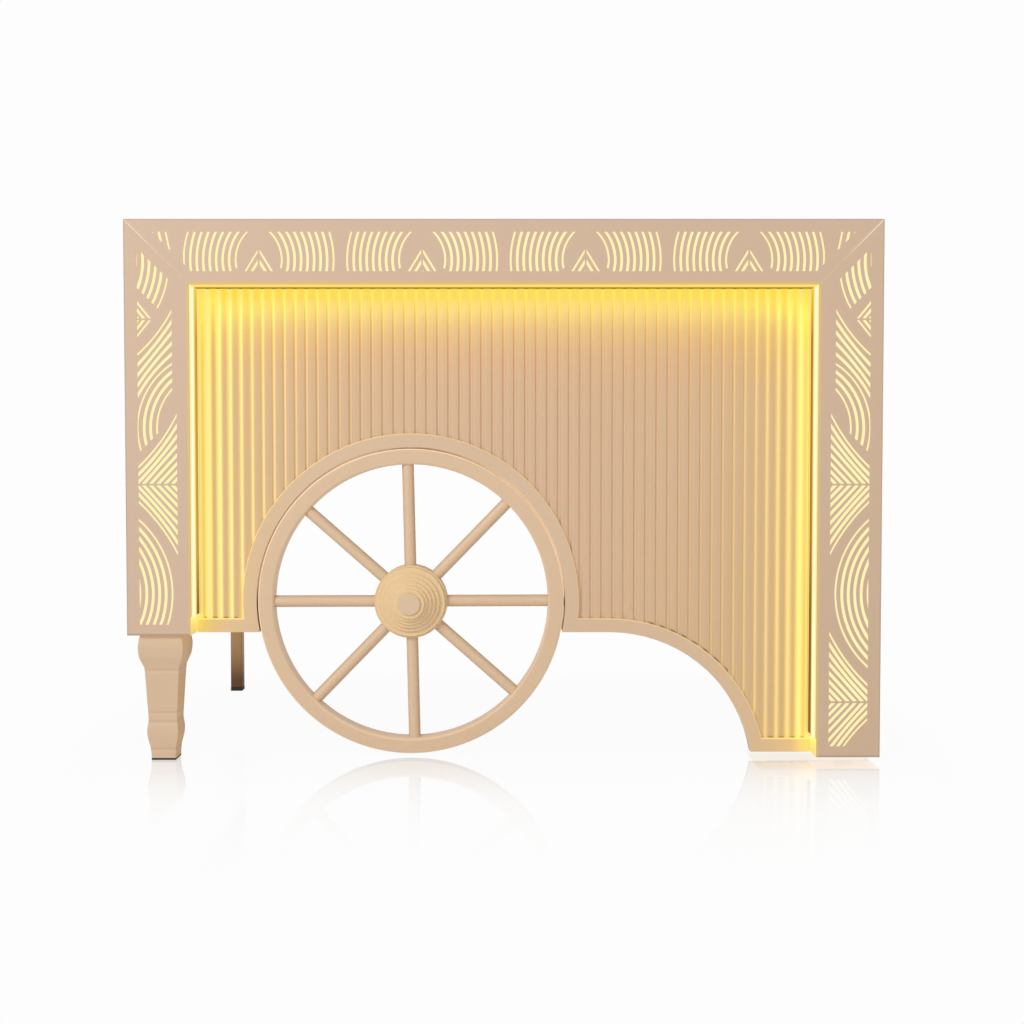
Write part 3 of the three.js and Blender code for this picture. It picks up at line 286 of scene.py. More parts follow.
# Feet and glide. Moulded rubber plugs close the lower ends of the tubes and keep them off the floor;
# the glide under the front right post is turned from the same stuff round a threaded stem.
FOOT_EASE = 0.0016
rubber = Finish("foot_rubber", {"Specular IOR Level": 0.3})
grain = rubber.noise(900, detail=4)
scuff = rubber.noise(38, detail=5)
rubber.shown({
    "Base Color": rubber.mix(scuff ** 3, tone(48, 35, 26), tone(112, 94, 74)),
    "Roughness": 0.7 + grain * 0.2,
    "Normal": rubber.bump(grain, 0.0002),
})
for node in ("rear_foot_left", "rear_foot_right", "front_leg_pad"):
    shape = whole(node)
    ease(shape, sharp(shape), FOOT_EASE, 2)
    piece(f"{node}_rubber", shape, "counter", "dark_foot", rubber, node)
piece("end_glide_rubber", whole("end_glide"), "counter", "dark_foot", rubber, "end_glide")

# Countertop and storage shelf. Boards cut to size, edged, filled and painted beige; the paint shows a
# faint grain along the board and the edges are sanded round.
BOARD_EASE = 0.0022


def painted_wood(name, colour, shade, stretch):
    """Satin paint on wood: the grain telegraphs through along one axis, and brush marks lie on it."""
    paint = Finish(name, {"Coat Roughness": 0.35})
    veins = paint.noise(24, stretch, 5)
    fine = paint.noise(260, stretch, 3)
    cloud = paint.noise(2.6)
    beige = paint.mix(veins * 0.35 + cloud * 0.45, colour, shade)
    paint.shown({
        "Base Color": beige,
        "Roughness": 0.42 + fine * 0.16,
        "Normal": paint.bump(fine * 0.6 + veins * 0.4, 0.00022),
    })
    return paint


board_paint = painted_wood("board_paint", tone(219, 190, 158), tone(208, 178, 146), (0.15, 1, 1))
for node in ("countertop", "shelf"):
    shape = whole(node)
    ease(shape, sharp(shape), BOARD_EASE)
    piece(f"{node}_board", shape, "counter", "beige_wood", board_paint, node)

# Side panels. Folded trays of 2 mm sheet, open towards the frame, powder coated beige and screwed to
# the legs from inside; the folds have a small radius.
FOLD_RADIUS = 0.0018
SHEET_SKIN = 0.0005
side_coat = powder_coat("side_coat", tone(214, 187, 160), tone(204, 176, 149), 0.42)
for node in ("side_panel_left", "side_panel_right"):
    shape = whole(node)
    low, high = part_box(node)
    middle = (low + high) / 2
    half = (high - low) / 2
    on_outside = [e for e in sharp(shape) if all(
        sum(abs((v.co - middle)[k]) > half[k] - SHEET_SKIN for k in range(3)) > 1 for v in e.verts)]
    ease(shape, on_outside, FOLD_RADIUS)
    piece(f"{node}_tray", shape, "counter", "beige_paint", side_coat, node)

# Light driver and power box. The driver is a zinc plated steel case under the top; the box behind it
# is folded sheet, painted beige, and takes the mains inlet and the rocker switch.
CASE_EASE = 0.0012
ROCKER_EASE = 0.0007


def plated(name, colour, roughness):
    """Zinc plating: pale crystals of slightly different grey, brushed one way."""
    zinc = Finish(name, {"Metallic": 0.85})
    crystals = zinc.node("ShaderNodeTexVoronoi", {"feature": "F1"}, {"Vector": zinc.place, "Scale": 150.0},
                         output="Color")
    spangle = zinc.axes(crystals)[0]
    lines = zinc.noise(300, (0.05, 1, 1), 3)
    zinc.shown({
        "Base Color": zinc.mix(spangle * 0.6 + lines * 0.3, colour, tone(128, 130, 131)),
        "Roughness": roughness + spangle * 0.12 + lines * 0.1,
        "Normal": zinc.bump(lines, 0.00006),
    })
    return zinc


zinc = plated("zinc_plate", tone(190, 191, 190), 0.28)
shape = whole("light_driver")
ease(shape, sharp(shape), CASE_EASE)
piece("light_driver_case", shape, "counter", "zinc_steel", zinc, "light_driver")
piece("power_box_case", whole("power_box"), "counter", "beige_paint", side_coat, "power_box")

plastic = Finish("black_moulding", {"Specular IOR Level": 0.45})
spark = plastic.noise(1600, detail=2)
plastic.shown({
    "Base Color": plastic.mix(spark, tone(22, 22, 24), tone(38, 38, 41)),
    "Roughness": 0.42 + spark * 0.2,
    "Normal": plastic.bump(spark, 0.00005),
})
piece("power_inlet_moulding", whole("power_inlet"), "counter", "black_plastic", plastic, "power_inlet")
shape = whole("rocker")
ease(shape, sharp(shape), ROCKER_EASE)
piece("rocker_moulding", shape, "switch", "black_plastic", plastic, "rocker")

# Fluted front. A routed board with 56 flat ribs, eased by the cutter and painted. The light strips wash
# it: the ribs near them turn yellow, and the flanks that face a side strip catch its light far into the
# panel. Short dark dashes lie under the ribs' ends where the trim takes the light off them.
RIB_EASE = 0.0009
RIB_COUNT = 56
RIB_PITCH = 2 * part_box("fluted_panel")[1].x / RIB_COUNT
RIB_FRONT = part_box("fluted_panel")[0].y
RIB_EDGES_Y = -0.34
GROOVE_DEPTH = 0.005
GROOVE_BACK = RIB_FRONT + GROOVE_DEPTH + 0.001
OPENING_HALF = -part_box("reveal_light_left")[0].x
OPENING_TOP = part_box("reveal_light_top")[1].z
SIDE_REACH = 0.027
TOP_REACH = 0.04
TRIM_REACH = 0.045
BAND_REACH = 0.07
BAND_WIDTHS = (0.0016, 0.0056)
MOST_RED = 0.46
MOST_GREEN = 0.47
LEVEL_TRIM = 0.284
FOOT_TRIM = 0.040
HOLLOW_X = 0.213
HOLLOW_Z = -0.036
HOLLOW_TRIM = 0.320
DASH_HEIGHT = 0.0032


def rib_turns(x, start):
    """How far along the row of ribs a place is, from 0 to 1 within each rib."""
    along_row = x / RIB_PITCH + start
    return along_row.maths("FRACT", along_row)


def lamp_wash(paint, dull, ribbed):
    """The wash of the strips over a painted surface: its colour, and what the light adds to it. Light from
    the side strips is caught in the grooves, in bands that narrow away from the strip."""
    x, y, z = paint.axes(paint.place)
    from_left = (x + OPENING_HALF).at_least(0)
    from_right = (OPENING_HALF - x).at_least(0)
    from_top = (OPENING_TOP - z).at_least(0)
    beside = fading(from_left, SIDE_REACH, 3) + fading(from_right, SIDE_REACH, 3)
    red = fading(from_top, TOP_REACH) * 0.58 + beside * 0.34
    green = fading(from_top, TOP_REACH + 0.01, 1.6) * 0.44 + beside * 0.30
    blue = beside * 0.05
    if ribbed:
        off_groove = abs(rib_turns(x, (RIB_COUNT + 1) / 2) - 0.5) * RIB_PITCH
        for distance, half, power, strength in ((from_left, 0.135, 1.3, 1.1), (from_right, 0.105, 1.5, 0.72)):
            band = fading(off_groove, fading(distance, BAND_REACH) * BAND_WIDTHS[1] + BAND_WIDTHS[0], 3)
            caught = band * fading(distance, half, power) * strength
            red, green, blue = red + caught * 0.5, green + caught * 0.46, blue + caught * 0.12
        deep = ((y - RIB_FRONT) / GROOVE_DEPTH).clipped()
        red, green, blue = red + deep * 0.06, green + deep * 0.06, blue + deep * 0.045
    else:
        near = fading(from_left, TRIM_REACH) + fading(from_right, TRIM_REACH)
        red = red + near * 0.2 - beside * 0.14
        green = green + near * 0.12 - beside * 0.1
        blue = blue + near * 0.02
    in_front = y < GROOVE_BACK
    glow = paint.node("ShaderNodeCombineColor", {"mode": "RGB"}, {
        "Red": red.at_most(MOST_RED) * in_front,
        "Green": green.at_most(MOST_GREEN) * in_front,
        "Blue": blue * in_front,
    })
    blue_loss = fading(from_top, 0.125, 2) * 0.63
    reach = 0.1 if ribbed else 0.05
    for distance in (from_left, from_right):
        blue_loss = blue_loss + fading(distance, reach) * 0.9 + fading(distance, 0.022, 2) * 0.4
    return paint.mix((blue_loss * 0.6 * in_front).at_most(1), dull, tone(218, 180, 72)), glow


flute_paint = Finish("flute_paint", {"Emission Strength": 1.0, "Coat Roughness": 0.35})
cloud = flute_paint.noise(3.1, (1, 1, 0.4), 4)
fine = flute_paint.noise(330, (1, 1, 0.12), 3)
flute_beige = flute_paint.mix(cloud * 0.6 + fine * 0.2, tone(217, 184, 152), tone(209, 175, 142))
washed, glow = lamp_wash(flute_paint, flute_beige, True)
x, y, z = flute_paint.axes(flute_paint.place)
on_rib = fading(abs(rib_turns(x, RIB_COUNT / 2) - 0.5), 0.25, 6) * (y < GROOVE_BACK)
over_hollow = ((x - HOLLOW_X) ** 2 + (z - HOLLOW_Z) ** 2) ** 0.5 - HOLLOW_TRIM
dashes = on_rib * sum(
    fading(over_trim.at_least(0), DASH_HEIGHT, 4) * (x > start) * (x < end) * share
    for over_trim, start, end, share in (
        (over_hollow, 0.29, 0.455, 0.8),
        (z - FOOT_TRIM, 0.49, 0.61, 0.5),
        (z - LEVEL_TRIM, -0.608, -0.54, 0.6),
    )
)
flute_paint.shown({
    "Base Color": flute_paint.mix(dashes, washed, tone(104, 66, 24)),
    "Emission Color": flute_paint.mix(dashes, glow, (0.03, 0.02, 0, 1)),
    "Roughness": 0.44 + fine * 0.15,
    "Normal": flute_paint.bump(fine, 0.00012),
})
shape = whole("fluted_panel")
ease(shape, [e for e in along(shape, 2) if max(v.co.y for v in e.verts) < RIB_EDGES_Y], RIB_EASE, 2)
piece("fluted_board", shape, "counter", "fluted_beige", flute_paint, "fluted_panel")

# Bottom trim. A flat band, cut to follow the panel's lower edge round the arch and down the hollow,
# glued over the ribs' ends; its upper edge catches the light that runs down the flutes.
TRIM_EASE = 0.0012
TRIM_CHAMFER = 0.0038
TRIM_EDGES_Y = -0.352
ARCH_X = (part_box("arch_flange")[0].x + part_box("arch_flange")[1].x) / 2


def front_edges(shape, on_ribs):
    """The trim's front edges: those that lie on the ribs, or those on its open side."""
    found = []
    for e in sharp(shape, 60):
        middle = (e.verts[0].co + e.verts[1].co) / 2
        walls = [f.normal for f in e.link_faces if abs(f.normal.y) < 0.5]
        if len(walls) == 1 and middle.y < TRIM_EDGES_Y:
            outwards = walls[0].z + walls[0].x * math.copysign(1, middle.x - ARCH_X)
            if (outwards > 0.1 and abs(middle.x) < OPENING_HALF - 0.01) == on_ribs:
                found.append(e)
    return found


trim_paint = Finish("trim_paint", {"Emission Strength": 1.0, "Coat Roughness": 0.35})
cloud = trim_paint.noise(3.4)
fine = trim_paint.noise(240, (0.2, 1, 1), 3)
trim_beige = trim_paint.mix(cloud * 0.6 + fine * 0.25, tone(221, 192, 160), tone(211, 181, 149))
washed, glow = lamp_wash(trim_paint, trim_beige, False)
x = trim_paint.axes(trim_paint.place)[0]
turned_x, turned_y, turned_z = trim_paint.facing()
outwards = turned_z + turned_x * ((x > ARCH_X) * 2 - 1)
lit_edge = ((1 - abs(turned_y)) * 6).at_most(1) * (outwards * 4).clipped()
beside = fading((OPENING_HALF - abs(x)).at_least(0), 0.12)
edge_light = trim_paint.mix(beside, (0.26, 0.19, 0.05, 1), (0.46, 0.40, 0.05, 1))
on_edge = trim_paint.node("ShaderNodeMix", {"data_type": "RGBA", "blend_type": "ADD"},
                          {"Factor": lit_edge, "A": glow, "B": edge_light})
# Painted light on the walls of the trim's open side, which stand in shade.
open_wall_light = (1 - abs(turned_y) * 2).at_least(0) * (outwards * -4).clipped()
trim_paint.shown({
    "Base Color": washed,
    "Emission Color": trim_paint.mix(open_wall_light, on_edge, (0.40, 0.29, 0.18, 1)),
    "Roughness": 0.42 + fine * 0.16,
    "Normal": trim_paint.bump(fine, 0.00012),
})
shape = whole("bottom_trim")
ease(shape, front_edges(shape, False), TRIM_EASE, 2)
ease(shape, front_edges(shape, True), TRIM_CHAMFER, 2, clamp=False)
piece("bottom_trim_band", shape, "counter", "beige_wood", trim_paint, "bottom_trim")

# Light plates. Zinc plated sheet closes each border tray from behind, and two rows of light strip are
# stuck along its inner face.
for side in ("top", "left", "right"):
    nodes[f"light_plate_{side}"].material_slots[0].material = zinc.material

# Diffusers. Opal sheet behind the slots, which spreads the light of the strips on the plates: it glows
# warm and almost evenly.
opal = Finish("opal_sheet", {"Emission Strength": 1.0, "Roughness": 0.35})
pool = opal.noise(9, detail=2)
opal.shown({
    "Base Color": opal.mix(pool, (0.11, 0.10, 0.06, 1), (0.08, 0.07, 0.04, 1)),
    "Emission Color": opal.mix(pool, tone(250, 236, 180), tone(246, 228, 160)),
})
for side in ("top", "left", "right"):
    nodes[f"diffuser_{side}"].material_slots[0].material = opal.material

# Border trays. Folded 2 mm sheet, laser cut with slots and mitred at the upper corners, powder coated
# beige. A highlight is painted along the ground mitres; the returns round the opening are painted warm
# with the light of the strips, and dark with painted shade in the gap behind them.
SLOT_CUTS = 3
BEND_COSINE = 0.94
MITRE_HIGHLIGHT_HALF = 0.0016
MITRE_OUTER = 0.055
SHEET_DEPTH = 0.0025
RETURN_HALF = 0.0009
EDGE_GLOW_HALF = 0.0042
FOLD_HALF = 0.0022
TRAY_END_HALF = 0.003
UNDERSIDE_HALF = 0.0008
FOOT_FADE = 0.03
GAP_LOW = 0.42
GAP_HIGH = 0.85
GAP_SHADE = tone(84, 54, 14)
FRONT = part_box("border_top")[0].y
tray_end = {side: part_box(f"border_{side}")[0].z for side in ("left", "right")}
foot = {side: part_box(f"reveal_light_{side}")[0].z for side in ("left", "right")}
back = {side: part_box(f"reveal_light_{side}")[1].y for side in ("top", "left")}


def rounded_slots(shape):
    """Gives the slots' long sides, which are short straight stretches, the curve that they stand for."""
    walls = [f for f in shape.faces if abs(f.normal.y) < 0.1 and len(f.verts) == 4
             and max(v.co.y for v in f.verts) < FRONT + SHEET_DEPTH]
    ring = {}
    for wall in walls:
        first, last = [v.co.copy() for v in wall.verts if v.co.y < FRONT + WELD]
        for here, there in ((first, last), (last, first)):
            ring.setdefault(here.freeze(), []).append(there.freeze())
    bent = {}
    cut = set()
    for wall in walls:
        ends = [v.co.copy().freeze() for v in wall.verts if v.co.y < FRONT + WELD]
        way = (ends[1] - ends[0]).normalized()
        slopes = []
        for end, sense in zip(ends, (1, -1)):
            beyond = [p for p in ring[end] if p not in ends]
            turn = (end - beyond[0]).normalized() * sense if beyond else -way
            slopes.append((turn + way).normalized() if turn.dot(way) > BEND_COSINE else None)
        if slopes == [None, None]:
            continue
        if None in slopes:
            known = slopes[0] or slopes[1]
            slopes = [s or 2 * known.dot(way) * way - known for s in slopes]
        span = (ends[1] - ends[0]).length
        for step in range(1, SLOT_CUTS + 1):
            t = step / (SLOT_CUTS + 1)
            straight = ends[0].lerp(ends[1], t)
            bulge = span * (t * (1 - t) ** 2 * (slopes[0] - way) - t * t * (1 - t) * (slopes[1] - way))
            bent[round(straight.x, 5), round(straight.z, 5)] = bulge
        cut.update(e for e in wall.edges if abs(e.verts[0].co.y - e.verts[1].co.y) < WELD)
    made = bmesh.ops.subdivide_edges(shape, edges=list(cut), cuts=SLOT_CUTS, use_grid_fill=True)
    for v in made["geom_inner"]:
        if isinstance(v, bmesh.types.BMVert):
            v.co += bent.get((round(v.co.x, 5), round(v.co.z, 5)), Vector())


border_coat = powder_coat("border_coat", tone(213, 185, 159), tone(204, 175, 148), 0.4)
x, y, z = border_coat.axes(border_coat.place)
in_from_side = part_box("border_right")[1].x - abs(x)
in_from_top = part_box("border_top")[1].z - z
# Painted highlight along the mitres, strongest on their outer half.
on_mitre = fading(abs(in_from_side - in_from_top), MITRE_HIGHLIGHT_HALF, 4)
outer_half = fading(in_from_top, MITRE_OUTER, 4)
# Painted shade: the coat is darker towards the right-hand end.
right_shade = border_coat.mix((x * 0.5 + 0.1).clipped(), border_coat.so_far("Base Color"), tone(204, 174, 144))
on_right = x > 0
pale = border_coat.mix(on_mitre * (outer_half * (on_right * 0.3 + 0.6) + 0.05), right_shade, tone(250, 232, 220))
# Painted warm light of the strips on the returns round the opening.
off_opening = (abs(x) - OPENING_HALF).at_least(z - OPENING_TOP).at_least(0)
on_return = fading(off_opening, RETURN_HALF, 6)
edge_glow = fading(off_opening, EDGE_GLOW_HALF, 3)
on_top = z > OPENING_TOP - SHEET_SKIN
above_end = z - on_right * (tray_end["right"] - tray_end["left"]) - tray_end["left"]
on_front = y < FRONT + SHEET_DEPTH
# Painted shade along the outer folds and along the trays' lower front edges.
on_fold = fading(in_from_side.at_most(in_from_top), FOLD_HALF, 4) * 0.5
on_fold = on_fold + fading(abs(above_end), TRAY_END_HALF, 4)
strip_foot = on_right * (foot["right"] - foot["left"]) + foot["left"]
strip_back = on_top * (back["top"] - back["left"]) + back["left"]
over_foot = z > strip_foot
# Painted shade in the gap behind the strips: a dark brown base with painted golden light on it. Painted
# yellow light on the returns below the strips' feet, and painted light on the trays' undersides.
in_gap = on_return * over_foot * (y > strip_back)
under_foot = on_return * (1 - over_foot) * fading(strip_foot - z, FOOT_FADE)
fold_shade = border_coat.mix(on_fold.at_most(0.8) * on_front, pale, tone(164, 146, 128))
warm_light = border_coat.mix(edge_glow * 0.8, fold_shade, tone(226, 192, 108))
on_side = border_coat.mix(on_right * (1 - on_top), (0.52, 0.31, 0.03, 1), (0.40, 0.20, 0.01, 1))
down_side = border_coat.mix(((GAP_LOW - z) * 8).clipped(), on_side, (0.22, 0.10, 0, 1))
up_side = ((z - GAP_HIGH) * 10).clipped() * (1 - on_top)
gap_light = border_coat.mix(up_side, down_side, (0.80, 0.55, 0.05, 1))
below = border_coat.mix(under_foot, (0, 0, 0, 1), (0.60, 0.56, 0.13, 1))
underneath = fading(abs(above_end), UNDERSIDE_HALF, 6) * (1 - on_front)
lit_below = border_coat.mix(underneath, below, (0.50, 0.38, 0.26, 1))
border_coat.shown({
    "Roughness": in_gap * 0.6 + border_coat.so_far("Roughness"),
    "Base Color": border_coat.mix(in_gap, warm_light, GAP_SHADE),
    "Emission Color": border_coat.mix(in_gap, lit_below, gap_light),
    "Emission Strength": 1.0,
})
for side in ("top", "left", "right"):
    shape = whole(f"border_{side}")
    rounded_slots(shape)
    piece(f"border_{side}_tray", shape, "counter", "beige_paint", border_coat, f"border_{side}")

# Reveal lights. Opal profiles with light strips in them line the inner sides of the border: white hot at
# the front and yellow behind on the two uprights, and a softer yellow under the top.
STRIP_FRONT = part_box("reveal_light_left")[0].y
STRIP_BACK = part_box("reveal_light_left")[1].y
LIP_TOP = 0.95
for side, core, behind, lip_share in (
    ("top", tone(244, 219, 118), tone(240, 204, 96), 0),
    ("left", tone(255, 254, 208), tone(238, 202, 110), 0.5),
    ("right", tone(255, 254, 208), tone(238, 202, 110), 0.9),
):
    strip = Finish(f"strip_{side}", {"Emission Strength": 1.0, "Roughness": 0.9, "Specular IOR Level": 0.1})
    x, y, z = strip.axes(strip.place)
    depth = (y - STRIP_FRONT) / (STRIP_BACK - STRIP_FRONT)
    dots = strip.noise(60, detail=1)
    hot = fading((depth + dots * 0.06).at_least(0), 0.74, 6) * (1 - fading(depth.at_least(0), 0.07, 2) * 0.5)
    lip = fading((1 - depth).at_least(0), 0.13, 4) * ((LIP_TOP - z) * 1.6).clipped()
    strip.shown({
        "Base Color": strip.mix(dots, (0.11, 0.10, 0.06, 1), (0.08, 0.07, 0.04, 1)),
        "Emission Color": strip.mix(lip * lip_share, strip.mix(hot, behind, core), (0.34, 0.15, 0, 1)),
    })
    nodes[f"reveal_light_{side}"].material_slots[0].material = strip.material

# Arch liner and flange, crossbar and axle. A rolled strip lines the arch behind the panel, and a ring
# welded inside it closes the gap round the wheel; a flat bar across it carries the stub axle with its
# washer and nut, hidden by the spokes and the hub.
LINER_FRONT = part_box("arch_liner")[0].y
LINER_LIT = 0.055
LINER_FOOT = 0.315
for node, name in (("arch_liner", "sheet"), ("arch_flange", "ring")):
    coat = powder_coat(f"{node}_coat", tone(214, 187, 160), tone(204, 176, 149), 0.42)
    x, y, z = coat.axes(coat.place)
    turned_x, turned_y, turned_z = coat.facing()
    # Painted light: the flange ring and the front of the liner glow a little where they show in the gap round
    # the wheel, in place of their shade.
    aside = abs(x - ARCH_X) * 6 - 0.2
    if node == "arch_flange":
        shown = aside.at_most(1) * -turned_y
        dim, bright = (0.12, 0.08, 0.05, 1), (0.60, 0.43, 0.28, 1)
    else:
        inwards = (turned_z + turned_x * ((x > ARCH_X) * 2 - 1)) * -2
        shown = inwards.clipped() * (y < LINER_FRONT + LINER_LIT) * ((z - LINER_FOOT) * 22).clipped()
        dim, bright = (0, 0, 0, 1), (0.21, 0.17, 0.12, 1)
    coat.shown({
        "Emission Color": coat.mix(shown.at_least(0), dim, bright),
        "Emission Strength": 1.0,
    })
    piece(f"{node}_{name}", whole(node), "counter", "beige_paint", coat, node)
piece("wheel_crossbar_bar", whole("wheel_crossbar"), "counter", "beige_paint", side_coat, "wheel_crossbar")
for node in ("stub_axle", "axle_washer", "axle_nut"):
    piece(f"{node}_zinc", whole(node), "counter", "zinc_steel", zinc, node)

# Wheel rim and spokes. The rim is turned from glued segments, its edges chamfered and rounded by hand;
# eight round spokes of 24 mm are socketed into it and into the hub, and all is painted beige.
hub_low, hub_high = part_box("hub_barrel")
WHEEL = (hub_low + hub_high) / 2
WHEEL_HALF = (hub_high.y - hub_low.y) / 2
RIM_OUTER = 0.3096
RIM_INNER = 0.278
RIM_CHAMFER = 0.003
RIM_EASE = 0.001
RIM_STEPS = 192
RIM_HIGHLIGHT_HALF = 0.0013
INNER_HIGHLIGHT_HALF = 0.0015
FACE_DEPTH = 0.004
SPOKE_SIDES = 32
SPOKE_RADIUS = 0.012
SPOKE_LEANS = (1.3, 0.8, 0.2, 3.6)
SPOKE_ROOT = 0.066
SPOKE_TIP = 0.286


def turned(profile, steps):
    """A turned piece on the wheel's axis, from (radius, y) places of its profile."""
    shape = bmesh.new()
    ring = [shape.verts.new((radius, y, 0)) for radius, y in profile]
    edges = [shape.edges.new(pair) for pair in zip(ring, ring[1:])]
    bmesh.ops.spin(shape, geom=ring + edges, cent=(0, 0, 0), axis=(0, 1, 0), angle=2 * math.pi,
                   steps=steps, use_merge=True, use_duplicate=False)
    bmesh.ops.remove_doubles(shape, verts=shape.verts, dist=WELD)
    bmesh.ops.recalc_face_normals(shape, faces=shape.faces)
    bmesh.ops.translate(shape, verts=shape.verts, vec=WHEEL)
    return shape


wheel_paint = painted_wood("wheel_paint", tone(224, 194, 161), tone(214, 183, 150), (1, 1, 1))
x, y, z = wheel_paint.axes(wheel_paint.place)
radius = ((x - WHEEL.x) ** 2 + (z - WHEEL.z) ** 2) ** 0.5
in_face = y < WHEEL.y - WHEEL_HALF + FACE_DEPTH
# Painted highlights: a light line along the rim's outer chamfer, and a lit line along the lower half of its
# inner chamfer.
rim_highlight = fading(abs(radius - (RIM_OUTER - RIM_CHAMFER / 3)), RIM_HIGHLIGHT_HALF, 4) * in_face
low_down = ((WHEEL.z - z) * (4 / RIM_INNER) - 2.4).clipped()
inner_highlight = fading(abs(radius - (RIM_INNER + RIM_CHAMFER + RIM_EASE)), INNER_HIGHLIGHT_HALF, 4)
inner_highlight = inner_highlight * in_face * low_down
# Painted light on the rim's inner wall.
turned_x, turned_y, turned_z = wheel_paint.facing()
outwards = (turned_x * (x - WHEEL.x) + turned_z * (z - WHEEL.z)) / radius
inner_wall_light = wheel_paint.mix((outwards * -1.4 - 0.2).clipped(), (0, 0, 0, 1), (0.11, 0.085, 0.06, 1))
wheel_paint.shown({
    "Base Color": wheel_paint.mix(rim_highlight * 0.9, wheel_paint.so_far("Base Color"), tone(246, 222, 192)),
    "Emission Color": wheel_paint.mix(rim_highlight.at_least(inner_highlight), inner_wall_light, (0.09, 0.07, 0.045, 1)),
    "Emission Strength": 1.0,
})
rim_section = [
    (RIM_INNER, WHEEL_HALF), (RIM_INNER, RIM_CHAMFER - WHEEL_HALF), (RIM_INNER + RIM_CHAMFER, -WHEEL_HALF),
    (RIM_OUTER - RIM_CHAMFER, -WHEEL_HALF), (RIM_OUTER, RIM_CHAMFER - WHEEL_HALF), (RIM_OUTER, WHEEL_HALF),
    (RIM_INNER, WHEEL_HALF),
]
shape = turned(rim_section, RIM_STEPS)
ease(shape, sharp(shape, 30), RIM_EASE, 2)
piece("wheel_rim_turned", shape, "wheel", "beige_wood", wheel_paint, "wheel_rim")
for number in range(8):
    shape = bmesh.new()
    bmesh.ops.create_cone(shape, cap_ends=True, segments=SPOKE_SIDES, radius1=SPOKE_RADIUS,
                          radius2=SPOKE_RADIUS, depth=SPOKE_TIP - SPOKE_ROOT)
    bmesh.ops.translate(shape, verts=shape.verts, vec=(0, 0, (SPOKE_TIP + SPOKE_ROOT) / 2))
    turn = math.radians(number * 45 - SPOKE_LEANS[number % 4])
    bmesh.ops.rotate(shape, verts=shape.verts, cent=(0, 0, 0), matrix=Matrix.Rotation(turn, 3, "Y"))
    bmesh.ops.translate(shape, verts=shape.verts, vec=WHEEL)
    node = f"spoke_{number + 1}"
    piece(f"{node}_round", shape, "wheel", "beige_wood", wheel_paint, node)

# Hub. The barrel takes the spokes and turns on a black bush; the nose in front is turned in six soft
# steps, stained warmer than the rest, and a flat grey-beige cap closes it.
NOSE_HEIGHT = 0.041
HUB_RADIUS = 0.074
HUB_STEPS = 96
RING_SHARES = (0.94, 0.797, 0.69, 0.59, 0.492, 0.411)
RING_EASE = 0.0016
CAP_RADIUS = 0.0219
CAP_THICKNESS = 0.004
CAP_EASE = 0.0008
BARREL_EASE = 0.0015
BARREL_SKIN = 0.07
POCKET_RADIUS = 0.0243
POCKET_DEPTH = 0.0196
hub_paint = painted_wood("hub_paint", tone(238, 208, 162), tone(226, 193, 147), (1, 1, 1))
cap_paint = painted_wood("cap_paint", tone(222, 195, 162), tone(214, 186, 153), (1, 1, 1))
shape = whole("hub_barrel")
ease(shape, [e for e in sharp(shape, 60) if all((v.co - WHEEL).length > BARREL_SKIN for v in e.verts)
             and abs(e.verts[0].co.y - e.verts[1].co.y) < WELD], BARREL_EASE, 2)
piece("hub_barrel_turned", shape, "wheel", "beige_wood", hub_paint, "hub_barrel")
piece("hub_bush_moulding", whole("hub_bush"), "wheel", "black_plastic", plastic, "hub_bush")
nose_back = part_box("hub_nose")[1].y
rise = NOSE_HEIGHT / len(RING_SHARES)
back = nose_back - WHEEL.y
steps = []
for number, share in enumerate(RING_SHARES):
    steps += [(share * HUB_RADIUS, back - number * rise), (share * HUB_RADIUS, back - (number + 1) * rise)]
nose_section = [(0, back - POCKET_DEPTH), (POCKET_RADIUS, back - POCKET_DEPTH), (POCKET_RADIUS, back),
                *steps, (0, back - NOSE_HEIGHT)]
shape = turned(nose_section, HUB_STEPS)
ease(shape, [e for e in sharp(shape, 30) if e.verts[0].co.y < nose_back - 0.001], RING_EASE, 3)
piece("hub_nose_turned", shape, "wheel", "beige_wood", hub_paint, "hub_nose")
cap_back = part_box("hub_cap")[1].y - WHEEL.y
shape = turned([(0, cap_back), (CAP_RADIUS, cap_back), (CAP_RADIUS, cap_back - CAP_THICKNESS),
                (0, cap_back - CAP_THICKNESS)], HUB_STEPS)
ease(shape, sharp(shape, 30), CAP_EASE, 3)
piece("hub_cap_turned", shape, "wheel", "beige_wood", cap_paint, "hub_cap")

# Front leg. Turned on a copying lathe to a square plan, with two soft bulges and a long taper between
# them, sanded at its corners and painted; it is bolted under the left border.
LEG_CORNER = 0.0022
LEG_LINES = (0.185, 0.098, 0.0794, 0.0236)
LINE_SHADE_HALF = 0.0022
LINE_HIGHLIGHT_HALF = 0.0024
HIGHLIGHT_BELOW = 0.005
leg_paint = painted_wood("leg_paint", tone(219, 190, 157), tone(208, 178, 146), (1, 1, 0.2))
z = leg_paint.axes(leg_paint.place)[2]
# Painted shade and highlight: a dark line at each moulding level and a light line just below it.
line_shade = sum(fading(abs(z - level), LINE_SHADE_HALF, 2) for level in LEG_LINES).at_most(1)
lip = sum(fading(abs(z - level + HIGHLIGHT_BELOW), LINE_HIGHLIGHT_HALF, 2) for level in LEG_LINES).at_most(1)
